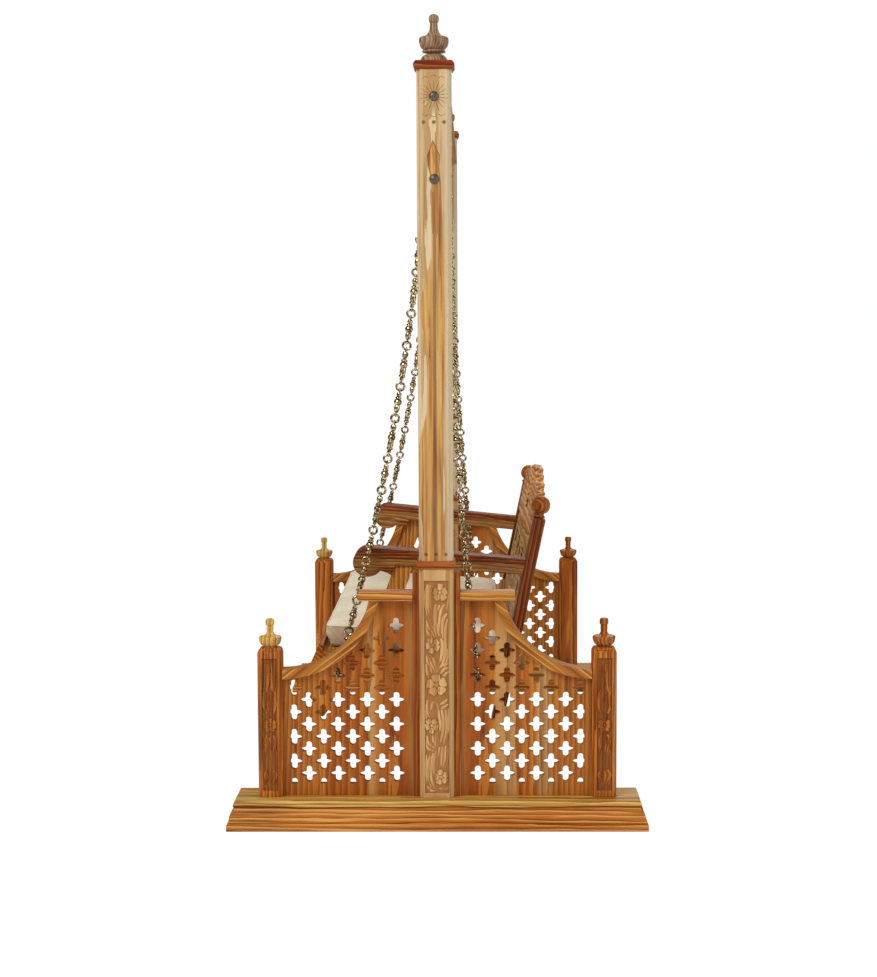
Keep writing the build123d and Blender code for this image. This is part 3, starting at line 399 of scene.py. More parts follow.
def post_teak(name, side):
    """The main post: cream sapwood round a brown heart that runs out in a flame on the face."""
    wood = Wood(name, "Z", (side * (POST_X - 0.06), -5 * MM, 0.0), (0.0, 0.004), 8 * MM, 4.0)
    grey = wood.fit(wood.y, 24 * MM, 34 * MM, 0.0, 0.6)
    tone = with_heart(wood, wood.mix(grey, wood.board(CREAM), GREY_EDGE))
    below_collar = wood.fit(wood.z, COLLAR_LOW - 2 * MM, COLLAR_LOW, 1.0, 0.0)
    tone = wood.mix(below_collar, tone, wood.ramp(wood.figure, LOWER_TONES))
    half = POST_FACE - POST_X
    offset = wood.distance(wood.x, side * POST_X)
    sunk = wood.fit(offset, half - 0.6 * CARVING_DEPTH, half - 0.9 * CARVING_DEPTH)
    inside = wood.fit(wood.distance(wood.y, 0.0), 32.5 * MM, 31.5 * MM)
    ground = wood.times(wood.times(sunk, inside), below_collar)
    tone = wood.mix(wood.times(ground, 0.85), tone, VINE_GROUND)
    return wood.oiled(with_gouges(wood, tone), CREAM, 0.3, 0.8, None)


# Bands across a pierced panel, from the post outwards: (where, tone from there on).
FRONT_BANDS = ((0.072, ASH[1]), (0.078, HONEY[1]), (0.100, HONEY[1]), (0.161, HONEY[0]),
               (0.166, ASH[0]), (0.180, ASH[0]), (0.184, HONEY[1]), (0.292, HONEY[1]),
               (0.299, BROWN[0]), (0.304, GOLD[0]), (0.312, GOLD[1]), (0.41, GOLD[1]))
REAR_BANDS = ((0.072, ASH[1]), (0.078, HONEY[1]), (0.100, HONEY[1]), (0.150, HONEY[0]),
              (0.162, ASH[0]), (0.204, ASH[0]), (0.214, HONEY[1]), (0.262, HONEY[0]),
              (0.270, ASH[0]), (0.296, ASH[0]), (0.304, GOLD[1]), (0.41, GOLD[1]))


def panel_teak(name, core):
    """A pierced panel of staves: orange heartwood with greyish sapwood along the joints."""
    wood = Wood(name, "Z", core, (0.01, 0.008), 10 * MM)
    uneven = wood.noise(wood.placed(wood.spot, scale=(1, 1, 0.12)), 22.0)
    across = wood.times_plus(uneven, 10 * MM, wood.minus(wood.y, 5 * MM))
    tone = wood.board(HONEY)
    reach = REAR_BANDS[-1][0]
    for sign, bands in ((-1, FRONT_BANDS), (1, REAR_BANDS)):
        outwards = wood.times(across, sign / reach)
        banded = wood.ramp(outwards, [(place / reach, tint) for place, tint in bands])
        stained = wood.mix(0.55, tone, banded)
        grained = wood.mix(wood.fit(wood.figure, 0.34, 0.62, 0.5, 0.0), stained, HONEY[2])
        tone = wood.mix(wood.maths("GREATER_THAN", outwards, 0.0), tone, grained)
    return wood.oiled(tone, HONEY, 0.25)


def base_teak(name, core):
    """A base board of brown wood: yellow along the top edge, a painted highlight on the lit top of
    its moulding, and a dark wavy line below it, painted shade in the cove.
    """
    wood = Wood(name, "Y", core, (0.012, 0.01), 12 * MM, 6.0)
    waves = wood.noise(wood.placed(wood.spot, scale=(1, 0.25, 1)), 16.0)
    level = wood.times_plus(waves, -22 * MM, wood.z)
    # Painted shade: a dark wavy line in the cove under the top moulding.
    line = wood.times(wood.fit(level, 44 * MM, 50 * MM), wood.fit(level, 53 * MM, 50 * MM))
    tone = wood.mix(wood.times(line, 0.9), wood.board(AMBER), AMBER[3])
    # Painted highlight: yellow wood on the lit top of the moulding.
    tone = wood.mix(wood.fit(level, 50 * MM, 53 * MM, 0.0, 0.85), tone, wood.board(YELLOW))
    return wood.oiled(tone, AMBER, 0.3)


def arm_teak(name, core):
    """An arm: dark heartwood above and below a lighter strip, and light wood under the scroll."""
    wood = Wood(name, "Y", core, (0.03, 0.02), 9 * MM, 6.0)
    slope = wood.times_plus(wood.y, 0.075, wood.z)
    waves = wood.noise(wood.placed(wood.spot, scale=(1, 0.3, 1)), 14.0)
    level = wood.times_plus(waves, 16 * MM, slope)
    strip = wood.times(wood.fit(level, 0.646, 0.650), wood.fit(level, 0.676, 0.668))
    scroll = wood.times(wood.fit(wood.y, -0.15, -0.19), wood.fit(level, 0.662, 0.652))
    light = wood.times(wood.maths("MAXIMUM", strip, scroll), 0.8)
    return wood.oiled(wood.mix(light, wood.board(UMBER), wood.board(TAN)), UMBER, 0.3)


def paired_teak(name, grain, core, front, rear):
    """Two pieces of one node in different wood: that at the front end and that at the rear."""
    wood = Wood(name, grain, core)
    behind = wood.maths("GREATER_THAN", wood.y, 0.0)
    return wood.oiled(wood.mix(behind, wood.board(front), wood.board(rear)), rear)


def corner_teak(name, side, end):
    """A corner post with dark stain on the sunk ground of its carving."""
    core = (side * (POST_X + 0.03), end * (CORNER_Y - 0.02), 0)
    wood = Wood(name, "Z", core, ring=9 * MM)
    from_ground = wood.distance(wood.times(wood.x, side), CORNER_FACE - CARVING_DEPTH)
    aside = wood.distance(wood.y, end * CORNER_Y)
    ground = wood.times(wood.fit(from_ground, 1.2 * MM, 0.6 * MM),
                        wood.fit(aside, 20.5 * MM, 19.5 * MM))
    tone = wood.mix(wood.times(ground, 0.55), wood.board(HONEY), CORNER_GROUND)
    return wood.oiled(tone, BROWN, 0.3, 0.5)


def swoop_teak(name, core):
    """The curved rails, sawn with the grain along their slope, the same on both ends."""
    wood = Wood(name, "Z", core, (math.radians(-52), 0.01), 10 * MM, 4.0, alike=True)
    return wood.oiled(wood.board(GOLD), GOLD)


def brass():
    finish = Finish("aged_brass", Metallic=1.0)
    patches = finish.noise(finish.spot, 160.0, 4.0, 0.6)
    # Random patches of pale straw and dark brown: painted highlights and reflections on the metal.
    painted_reflections = finish.mix(finish.fit(patches, 0.44, 0.58), colour(232, 214, 172), colour(104, 84, 54))
    # Darker in the crevices: tarnish, deepened into painted shade where little light gets in.
    tarnish_and_shade = finish.fit(finish.openness(8 * MM), 0.85, 0.40, 0.0, 0.92)
    finish.paint(finish.mix(tarnish_and_shade, painted_reflections, colour(44, 34, 22)))
    finish.shine(finish.fit(patches, 0.3, 0.7, 0.16, 0.34))
    finish.relief(patches, 0.12)
    return finish.material


def iron():
    finish = Finish("dark_iron_finish", Metallic=0.85)
    grit = finish.noise(finish.spot, 420.0, 4.0, 0.6)
    worn = finish.fit(grit, 0.35, 0.65)
    finish.paint(finish.mix(worn, colour(96, 84, 76), colour(134, 122, 112)))
    finish.shine(finish.fit(grit, 0.3, 0.7, 0.34, 0.55))
    finish.relief(grit, 0.25)
    return finish.material


def cloth(name, light, dark):
    """A plain weave: threads along two of the three axes show on any face."""
    finish = Finish(name, Roughness=0.92, Sheen_Weight=0.25, Sheen_Roughness=0.5)
    height = None
    for direction in "XYZ":
        weave = {"Vector": finish.spot, "Scale": wave_scale(THREAD), "Distortion": 1.2,
                 "Detail": 1.0, "Detail Scale": 0.3}
        threads = finish.node("ShaderNodeTexWave", weave, wave_type="BANDS",
                              bands_direction=direction).outputs["Fac"]
        if height:
            threads = finish.times(height, finish.fit(threads, 0, 1, 0.35, 1))
        height = threads
    slubs = finish.noise(finish.spot, 90.0, 4.0, 0.65)
    soft = finish.noise(finish.spot, 7.0)
    shade = finish.times_plus(slubs, 0.5, finish.times(soft, 0.5))
    tone = finish.mix(finish.fit(shade, 0.35, 0.65), dark, light)
    finish.paint(finish.mix(finish.fit(height, 0.0, 0.6, 0.22, 0.0), tone, dark))
    finish.relief(finish.times_plus(slubs, 0.6, height), 0.5, 0.5 * MM)
    return finish.material


def dress(nodes, material):
    """Give nodes of the frame a finish in every slot."""
    for name in nodes:
        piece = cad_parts[name]
        if not piece.material_slots:
            piece.data.materials.append(material)
        for slot in piece.material_slots:
            slot.material = material


# Pieces of plain wood: (nodes, name of the finish, then what teak takes after its name).
PLAIN_PIECES = (
    ("post_caps", "cap", REDWOOD, "Y", (0.8, 0, 1.9)),
    ("main_finials", "main_finial", SMOKE, "Z", (POST_X + 0.02, 0.02, 0), LEAN, 7 * MM, 0, None),
    ("top_beam", "beam", GOLD, "X", (0, 0.02, 1.80)),
    ("beam_mouldings", "beam_moulding", BROWN, "X", (0, 0.08, 1.86)),
    ("knee_brackets", "knee", HONEY, "Z", (0.8, 0.08, 1.8)),
    ("front_rail", "front_rail", HONEY, "X", (0, -0.42, 0.30)),
    ("rear_rail lower_back_rail", "rear_rail", BROWN, "X", (0, 0.3, 0.30)),
    ("seat_slats", "slat", GOLD, "X", (0, 0.05, 0.25)),
    ("cross_bearers", "bearer", BROWN, "Y", (0.2, 0, 0.25)),
    ("front_legs", "leg", BROWN, "Z", (0.66, -0.4, 0)),
    ("ball_finials", "ball", BROWN, "Z", (0.55, 0.3, 0), LEAN, 8 * MM),
    ("back_board", "back_board", ASH, "X", (0, 0.42, 0.40), LEAN, 14 * MM),
    ("crest_rail", "crest", AMBER, "X", (0, 0.42, 0.60), LEAN, 12 * MM, 0, None))


def dress_side(name, side):
    """The finishes of the pieces on the left or on the right, grain along each one's length."""
    x = side * POST_X
    finishes = [
        ("main_post", post_teak, "post", side),
        ("base_board", base_teak, "base", (x + 0.13, 0.1 * side, -0.12)),
        ("panel_stiles", paired_teak, "stile", "Z", (x + 0.06, 0.1, 0), RUST, BROWN),
        ("shelf_rails", paired_teak, "shelf", "Y", (x - 0.03, 0, 0.50), AMBER, GOLD),
        ("post_collar", teak, "collar", REDWOOD, "Y", (x - 0.1, 0, 0.62)),
        ("corner_finials", paired_teak, "corner_finial", "Z", (x + 0.02, 0.4, 0), YELLOW, BROWN),
        ("swoop_rails", swoop_teak, "swoop", (x + 0.05, 0.5, 0.3)),
        ("seat_rail", teak, "seat_rail", HONEY, "Y", (0.7 * side, 0, 0.2)),
        ("back_stile", teak, "back_stile", UMBER, "Z", (0.62 * side, 0.1, 0), (0.19, 0.0)),
        ("arm", arm_teak, "arm", (0.66 * side, 0, 0.56)),
        ("arm_support", teak, "arm_support", GOLD, "Z", (0.7 * side, 0.05, 0))]
    for end_name, end in ENDS:
        finishes += [
            (f"{end_name}_corner_post", corner_teak, f"{end_name}_corner", side, end),
            (f"{end_name}_lattice", panel_teak, f"{end_name}_panel",
             (x - 0.2 * side, 0.12 * end, 0))]
    for node, make, label, *settings in finishes:
        dress([f"{name}_{node}"], make(f"{name}_{label}_teak", *settings))
    dress([f"{name}_{node}" for node in ("hanger_yoke", "front_chain", "rear_chain")], BRASS)
    dress([f"{name}_hanger_bracket"], IRON)


def dress_nodes():
    """Give every node of the frame its finish."""
    for name, side in SIDES:
        dress_side(name, side)
    dress(["swivel_bushes", "eye_bolts"], BRASS)
    dress(["hanger_pins", "bracket_screws", "beam_bolts", "barrel_nuts"], IRON)
    for nodes, label, *settings in PLAIN_PIECES:
        dress(nodes.split(), teak(f"{label}_teak", *settings))


# ------------------------------ carving
PETAL_HEIGHT = 0.15                 # of a petal that is one unit long


def petal():
    """A cupped petal from the middle of a flower out along +Y, one unit long."""
    select()
    bpy.ops.mesh.primitive_circle_add(vertices=12, radius=1, fill_type="NGON", location=(0, 0, 0))
    piece = bpy.context.object
    for vertex in piece.data.vertices:
        x, y, _ = vertex.co
        notch = 0.12 if abs(x) < 0.1 and y > 0 else 0.0
        vertex.co = (0.40 * x * (1 + 0.25 * y), 0.60 + 0.41 * y - notch, 0)
    bpy.ops.object.mode_set(mode="EDIT")
    bpy.ops.mesh.select_all(action="SELECT")
    bpy.ops.mesh.extrude_region_move(TRANSFORM_OT_translate={"value": (0, 0, 0.12)})
    bpy.ops.mesh.inset(thickness=0.05, depth=0.03)
    bpy.ops.mesh.inset(thickness=0.13, depth=-0.07)
    bpy.ops.object.mode_set(mode="OBJECT")
    rounding = piece.modifiers.new("rounding", "SUBSURF")
    rounding.levels = rounding.render_levels = 1
    apply_modifiers(piece)
    return piece


def boss():
    """The domed middle of a flower, one unit in radius."""
    select()
    bpy.ops.mesh.primitive_uv_sphere_add(segments=12, ring_count=8, radius=1, location=(0, 0, 0))
    piece = bpy.context.object
    bpy.ops.object.mode_set(mode="EDIT")
    bpy.ops.mesh.bisect(plane_co=(0, 0, -0.2), plane_no=(0, 0, 1), clear_inner=True, use_fill=True)
    bpy.ops.object.mode_set(mode="OBJECT")
    return piece


def flower(u, v, radius, petals=5, height=2.8, turn=0.0, stretch=1.15):
    """Petals round a boss on a flat ground, as separate meshes, drawn in mm."""
    u, v, radius, height = u * MM, v * MM, radius * MM, height * MM
    ground = Matrix.Translation((u, v, 0)) @ Matrix.Diagonal((1, stretch, 1, 1))
    lift = height / PETAL_HEIGHT
    made = []
    for number in range(petals):
        spin = Matrix.Rotation(turn + 2 * math.pi * number / petals, 4, "Z")
        size = Matrix.Diagonal((radius * 5.2 / petals, radius, lift, 1))
        made.append(twin(PETAL, ground @ spin @ size))
    middle = radius * 0.26
    made.append(twin(BOSS, ground @ Matrix.Diagonal((middle, middle, height * 0.95, 1))))
    return made


def stroke(points, width):
    """A line of the carver's gouge, drawn in mm."""
    return [Vector(point) * MM for point in points], width * MM


def gouged(name, lines, height_share):
    """Rounded ridges that taper to both ends, one mesh: each line is (points, width)."""
    select()
    bpy.ops.curve.primitive_bezier_curve_add(location=(0, 0, 0))
    piece = bpy.context.object
    piece.name = name
    drawing = piece.data
    drawing.splines.clear()
    drawing.dimensions = "3D"
    drawing.twist_mode = "Z_UP"
    drawing.bevel_depth = 0.5
    drawing.bevel_resolution = 1
    drawing.resolution_u = 5
    drawing.use_fill_caps = True
    for points, width in lines:
        spline = drawing.splines.new("BEZIER")
        spline.bezier_points.add(len(points) - 1)
        for number, (spot, point) in enumerate(zip(spline.bezier_points, points)):
            spot.co = (*point, 0)
            spot.handle_left_type = spot.handle_right_type = "AUTO"
            along = number / (len(points) - 1)
            swell = math.sin(math.pi * min(1, 0.15 + 0.85 * along)) ** 0.8
            spot.radius = width * (0.25 + 0.75 * swell)
    piece = converted("MESH")
    piece.scale = (1, 1, height_share)
    return settle(piece)


def sprig(start, end, bow, count, fan, width):
    """Strokes that leave one spot together and spread towards their ends, drawn in mm."""
    start, end = Vector(start) * MM, Vector(end) * MM
    bow, fan = bow * MM, fan * MM
    along = end - start
    side = Vector((-along.y, along.x)).normalized()
    lines = []
    for number in range(count):
        place = number - (count - 1) / 2
        reach = 1.0 - 0.13 * abs(place)
        tip = start + along * reach + side * place * fan * 1.5
        points = []
        for share in (0.0, 0.3, 0.62, 1.0):
            swing = math.sin(math.pi * share) * bow + math.sin(2 * math.pi * share) * bow * 0.35
            spread = place * fan * 0.55 * (1 - share)
            points.append(start.lerp(tip, share) + side * (swing + spread))
        lines.append((points, width * MM))
    return lines


def facing(origin, across, outwards):
    """A matrix that lays flat carving on a face: U along across, height outwards."""
    across, outwards = Vector(across).normalized(), Vector(outwards).normalized()
    up = outwards.cross(across)
    turn = Matrix((across, up, outwards)).transposed().to_4x4()
    return Matrix.Translation(origin) @ turn


def lay(piece, places, name, body, material):
    """Copies of a flat carving on several faces, as one piece that rides on a body."""
    carving = joined(name, [twin(piece, place) for place in places])
    coat(carving, material)
    select(carving)
    bpy.ops.object.shade_smooth_by_angle(angle=math.radians(50))
    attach(carving, body)
    return carving


# Flowers of the post's vine: (across, height, radius, stretch, turn) in mm and radians.
VINE_FLOWERS = ((9.5, 624.5, 20.5, 1.3, 0.0), (-10, 485, 19.5, 1.25, 0.4), (0, 379, 29, 1.1, 0.1),
                (-14, 271, 18, 1.3, 0.6), (11, 133, 19, 1.2, 0.2))
# Gouged strokes between them: (width, then across and height of each point from root to tip).
VINE_STROKES = (
    (8, -13, 644, -21.2, 627.2, -23.4, 600.6, -19.5, 569.6),
    (8, -20.3, 645.8, -28.1, 627.2, -29.4, 596.2, -26, 564.3),
    (5, -6.9, 642.7, -15.2, 623.7, -16.9, 598.4, -13, 576.3),
    (6, -0.9, 594, -5.2, 574.1, -6.1, 543.1, -0.9, 516.5),
    (7, 7.8, 592.7, 0, 569.6, 0, 538.6, 6.9, 509.9),
    (6, 20.8, 594, 11.3, 574.1, 6.9, 543.1, 4.3, 516.5),
    (6, 28.6, 569.6, 19, 556.4, 14.7, 529.8, 16.5, 503.2),
    (5, 30.3, 556.4, 24.2, 534.2, 22.5, 507.6, 26, 481.1),
    (5, -27.7, 551.9, -22.5, 534.2, -13, 520.9, -5.2, 505.4),
    (5, -28.6, 540.9, -26, 523.1, -18.2, 511.2, -10.4, 503.2),
    (4, -16.5, 556.4, -13, 538.6, -5.2, 523.1, -0.9, 503.2),
    (7, 12.1, 503.2, 14.7, 481.1, 12.1, 454.5, 6.1, 434.6),
    (7, 20.8, 498.8, 22.5, 472.2, 19, 445.6, 10.4, 425.7),
    (5, 29.4, 476.6, 29.4, 454.5, 24.2, 434.6, 16.5, 421.3),
    (5, -27.7, 458.9, -24.2, 441.2, -17.3, 427.9, -13, 410.2),
    (5, -19.9, 454.5, -15.6, 436.8, -8.7, 424.4, -5.2, 410.2),
    (5, -9.5, 452.3, -5.2, 436.8, -0.9, 423.5, 0, 410.2),
    (5, -28.6, 436.8, -26.8, 419.1, -24.2, 408, -21.6, 399.1),
    (5, 30.3, 435.9, 16.5, 432.4, 4.3, 421.3, -0.9, 406.7),
    (5, 31.2, 425.7, 20.8, 421.3, 12.1, 412.4, 8.7, 404.9),
    (5, 32, 413.8, 26, 411.1, 20.8, 404.9, 19, 398.7),
    (6, -24.2, 340.2, -26.8, 321.6, -24.2, 303.9, -19.9, 292.8),
    (5, -8.7, 335.8, -14.7, 321.6, -17.3, 303.9, -13, 289.7),
    (5, -28.6, 328.3, -29.4, 308.3, -28.6, 292.8, -26.8, 284),
    (5, 28.6, 341.6, 19, 332.7, 10.4, 328.3, 4.3, 319.4),
    (5, 30.3, 328.3, 21.6, 321.6, 13.9, 317.2, 7.8, 308.3),
    (7, 0, 332.7, 4.3, 303.9, 8.7, 272.9, 4.3, 241.9),
    (7, 12.1, 312.8, 16.5, 286.2, 15.6, 255.2, 8.7, 226.4),
    (6, 22.5, 312.8, 25.1, 281.8, 23.4, 250.8, 16.5, 219.8),
    (5, 30.3, 317.2, 31.2, 286.2, 30.3, 255.2, 26, 226.4),
    (5, -0.9, 277.3, 0.9, 255.2, -2.6, 233.1, -0.9, 215.3),
    (5, -26.8, 244.1, -24.2, 226.4, -15.6, 215.3, -5.2, 210.9),
    (5, -28.6, 230.8, -26.8, 213.1, -18.2, 205.6, -8.7, 202.9),
    (5, -13, 245.5, -9.5, 230.8, -5.2, 222, -3.5, 210.9),
    (7, -16.5, 193.2, -25.1, 166.6, -25.1, 135.6, -16.5, 106.8),
    (7, -8.7, 197.6, -17.3, 168.8, -17.3, 135.6, -6.9, 100.2),
    (6, -0.9, 204.3, -8.7, 177.7, -9.5, 148.9, -2.6, 126.8),
    (5, 6.9, 213.1, 2.6, 193.2, 1.7, 175.5, 4.3, 156.9),
    (5, 14.7, 215.3, 13, 197.6, 11.3, 175.5, 8.7, 156.9),
    (5, 22.5, 217.6, 21.6, 193.2, 19, 175.5, 14.7, 160),
    (5, 30.3, 215.3, 29.4, 193.2, 26.8, 171.1, 21.6, 155.6),
    (5, -28.6, 193.2, -29.9, 166.6, -29.4, 135.6, -26.8, 113.5),
    (5, -27.7, 109.1, -20.8, 99.3, -8.7, 94.9, 4.3, 96.7),
    (4, 4.3, 104.6, 13, 100.2, 22.5, 100.2, 30.3, 105.5),
    (5, 30.3, 631.6, 32, 613.9, 30.3, 591.8, 26.8, 578.5))
STROKE_SWELL = 1.45                 # broader than drawn, with their soft shoulders


def carve_posts():
    """The flowering vine in the sunk panels of the main posts."""
    lines = [stroke(zip(spots[::2], spots[1::2]), width * STROKE_SWELL)
             for width, *spots in VINE_STROKES]
    flat = [gouged("vine", lines, 0.6)]
    for across, height, radius, stretch, turn in VINE_FLOWERS:
        flat += flower(across, height, radius, height=3.4, turn=turn, stretch=stretch)
    drawing = joined("vine", flat)
    depth = POST_FACE - POST_X - CARVING_DEPTH
    for name, side in SIDES:
        places = [facing((side * POST_X + out * depth, 0, 0), (0, out, 0), (out, 0, 0))
                  for out in (1, -1)]
        lay(drawing, places, f"{name}_post_vine", "stand", CARVED_PALE)
    remove(drawing)


# Sprigs on a corner post: (root, tip, bow, number of strokes), in mm.
CORNER_SPRIGS = (((-14, 352), (-3, 441), -5, 2), ((14, 352), (3, 441), 5, 2),
                 ((-9, 300), (-13, 378), 5, 2), ((9, 300), (13, 378), -5, 2),
                 ((0, 298), (0, 360), 3, 2), ((-8, 244), (-8, 184), -6, 2),
                 ((8, 244), (8, 184), 6, 2), ((-3, 236), (3, 198), 2, 1),
                 ((-8, 150), (-8, 106), -6, 2), ((8, 150), (8, 106), 6, 2),
                 ((0, 146), (0, 112), 2, 1))


def carve_corner_posts():
    """A flower with loops of leaf above and below it, on the outer face of each corner post."""
    lines = []
    for start, end, bow, count in CORNER_SPRIGS:
        lines += sprig(start, end, bow, count, 3.6, 6)
    flat = [gouged("leaf_loops", lines, 0.9)]
    flat += flower(0, 270, 19, petals=7, height=3.4)
    flat += flower(0, 404, 8)
    drawing = joined("leaf_loops", flat)
    depth = CORNER_FACE - POST_X - CARVING_DEPTH
    for name, side in SIDES:
        for end_name, end in ENDS:
            place = facing((side * (POST_X + depth), end * CORNER_Y, 0), (0, side, 0), (side, 0, 0))
            lay(drawing, [place], f"{name}_{end_name}_corner_carving", "stand", CARVED_BROWN)
    remove(drawing)


RAYS = 18
RAY_ROOT = 15                       # from the bolt, in mm
ROSETTE_WIDE, ROSETTE_HIGH = 36, 43


def carve_rosettes():
    """Rays in an oval round the upper bolt, with a cusped line above and below."""
    lines = []
    for number in range(RAYS):
        angle = 2 * math.pi * (number + 0.5) / RAYS
        direction = Vector((math.cos(angle), math.sin(angle)))
        reach = 1 / math.hypot(direction.x / ROSETTE_WIDE, direction.y / ROSETTE_HIGH)
        places = (RAY_ROOT, (RAY_ROOT + reach) / 2, reach)
        lines.append(stroke([direction * place for place in places], 1.8))
    for up in (-1, 1):
        for cusp in (-1, 0, 1):
            lines.append(stroke([(cusp * 20 + step * 9,
                                  (48 - abs(cusp) * 3 + (1 - abs(step)) * 4) * up)
                                 for step in (-1, 0, 1)], 1.6))
    drawing = gouged("rosette", lines, 0.3)
    for name, side in SIDES:
        place = facing((side * POST_FACE, 0, UPPER_BOLT), (0, side, 0), (side, 0, 0))
        # The rays are low strokes whose darker finish paints the shade inside the cuts.
        lay(drawing, [place], f"{name}_post_rosette", "stand", CUT_LINE)
    remove(drawing)


def mirrored_lines(lines):
    """The same strokes, and their mirror image to the other side."""
    return lines + [([Vector((-point.x, point.y)) for point in points], width)
                    for points, width in lines]


BACK_MIDDLE = 205                   # height of the vine's stem on the back board, in mm
BACK_FLOWERS = ((175, 245), (305, 160), (430, 245))
# Sprigs round each flower: (across to the tip, away from the stem to the tip, bow), in mm.
BACK_SPRIGS = ((48, 42, 10), (64, 80, -14), (-38, 78, 16), (10, 94, 8), (-56, 27, -8))
BACK_CORNERS = ((-526, 92), (526, 92), (526, 318), (-526, 318))
CREST_MIDDLE = 408                  # height of the fan's middle
CREST_SPRIGS = (((110, 410), (215, 478), 12), ((130, 404), (300, 462), -12),
                ((250, 404), (420, 430), 12), ((330, 402), (500, 416), -6))


def carve_back():
    """A scrolling vine from a medallion in the middle over the whole back board."""
    flat = flower(0, BACK_MIDDLE, 62, petals=8, height=5, stretch=1.0)
    flat += flower(0, BACK_MIDDLE, 34, petals=6, height=8, turn=0.3, stretch=1.0)
    lines = []
    for number, (across, height) in enumerate(BACK_FLOWERS):
        for side in (-1, 1):
            flat += flower(side * across, height, 36, petals=6, height=5, turn=0.3 * number,
                           stretch=1.0)
        drop = -1 if height > BACK_MIDDLE else 1
        for reach, lift, bow in BACK_SPRIGS:
            lines += sprig((across + reach * 0.35, height + drop * 38),
                           (across + reach, height + drop * lift), bow, 4, 7, 8)
        lines += sprig((across - 70, BACK_MIDDLE - drop * 18),
                       (across + 62, BACK_MIDDLE + drop * 22), drop * 38, 2, 6, 8)
    for across in (78, 505):
        lines += sprig((across, 120), (across - 6, 292), 13, 4, 9, 8)
    flat.append(gouged("back_leaves", mirrored_lines(lines), 0.7))
    corners = [Vector(corner) for corner in BACK_CORNERS]
    edge = [stroke([first, first.lerp(last, 0.5), last], 7)
            for first, last in zip(corners, corners[1:] + corners[:1])]
    flat.append(gouged("back_edge", edge, 0.7))
    drawing = joined("back_vine", flat)
    front = BACK_FRAME @ facing((0, BOARD_RECESS, 0), (1, 0, 0), (0, -1, 0))
    lay(drawing, [front], "back_board_carving", "swing", CARVED_ASH)
    remove(drawing)


def carve_crest():
    """A fan in the middle of the crest, with sprigs to both sides."""
    middle = Vector((0, CREST_MIDDLE))
    lines = []
    for degrees in range(10, 180, 20):
        angle = math.radians(degrees)
        direction = Vector((math.cos(angle), math.sin(angle)))
        lines.append(stroke([middle + direction * reach for reach in (26, 55, 88)], 15))
    for start, end, bow in CREST_SPRIGS:
        lines += mirrored_lines(sprig(start, end, bow, 3, 7, 9))
    flat = [gouged("crest_leaves", lines, 0.5)]
    flat += flower(0, CREST_MIDDLE, 26, petals=6, height=6, stretch=1.0)
    drawing = joined("crest_fan", flat)
    front = BACK_FRAME @ facing((0, CREST_SETBACK, 0), (1, 0, 0), (0, -1, 0))
    lay(drawing, [front], "crest_carving", "swing", CARVED_HONEY)
    remove(drawing)


# ------------------------------ cushion
CUSHION_HALF = 578 * MM
CUSHION_FRONT = -321 * MM
CUSHION_REAR = 177 * MM
CUSHION_LOW = 1 * MM
CUSHION_HIGH = 69 * MM
CUSHION_FOOT = 12 * MM              # what lies below this stays on the slats
CUSHION_SWELL = 9 * MM              # most that a point may move while the pad fills out
CUSHION_VOXEL = 7 * MM
CUSHION_OVERHANG = 12 * MM          # its front edge leans over the lip of the front rail
SEAM = CUSHION_HIGH - 7 * MM        # height of the piping, between the top and the boxing
AIR_PRESSURE = 4
AIR_STEPS = 20
PIPING = 2.6 * MM                   # radius of the welt round the top
PIPING_CORNER = 12 * MM


def cushion_block():
    """The cut shape of the pad in the seat's frame, a little smaller than the filled one."""
    select()
    bpy.ops.mesh.primitive_cube_add(size=1, location=(0, (CUSHION_FRONT + CUSHION_REAR) / 2,
                                                      (CUSHION_LOW + CUSHION_HIGH) / 2))
    piece = bpy.context.object
    piece.dimensions = (2 * CUSHION_HALF, CUSHION_REAR - CUSHION_FRONT, CUSHION_HIGH - CUSHION_LOW)
    settle(piece)
    bpy.ops.object.mode_set(mode="EDIT")
    bpy.ops.mesh.select_all(action="SELECT")
    bpy.ops.mesh.bevel(offset=10 * MM, segments=3, affect="EDGES")
    bpy.ops.object.mode_set(mode="OBJECT")
    return piece


def filled(piece):
    """Remesh the pad and let air pressure fill it, each point held near its cut shape."""
    remesh = piece.modifiers.new("even_mesh", "REMESH")
    remesh.mode = "VOXEL"
    remesh.voxel_size = CUSHION_VOXEL
    apply_modifiers(piece)
    rest = [vertex.co.copy() for vertex in piece.data.vertices]
    cloth_sim = piece.modifiers.new("air", "CLOTH")
    cloth_sim.settings.use_pressure = True
    cloth_sim.settings.uniform_pressure_force = AIR_PRESSURE
    cloth_sim.settings.effector_weights.gravity = 0
    scene = bpy.context.scene
    for step in range(1, AIR_STEPS + 1):
        scene.frame_set(step)
    apply_modifiers(piece)
    scene.frame_set(1)
    for vertex, start in zip(piece.data.vertices, rest):
        move = vertex.co - start
        if move.length > CUSHION_SWELL:
            move *= CUSHION_SWELL / move.length
        if start.z < CUSHION_LOW + CUSHION_FOOT:
            move.z = max(move.z, 0.0)
        vertex.co = start + move - Vector((0, overhang(start), 0))
    return piece


def overhang(spot):
    """How far the front edge of the pad leans forwards at a point."""
    above_lip = min(1, max(0, (spot.z - 18 * MM) / (16 * MM)))
    near_front = min(1, max(0, 1 - (spot.y - CUSHION_FRONT) / (90 * MM)))
    return CUSHION_OVERHANG * above_lip * near_front


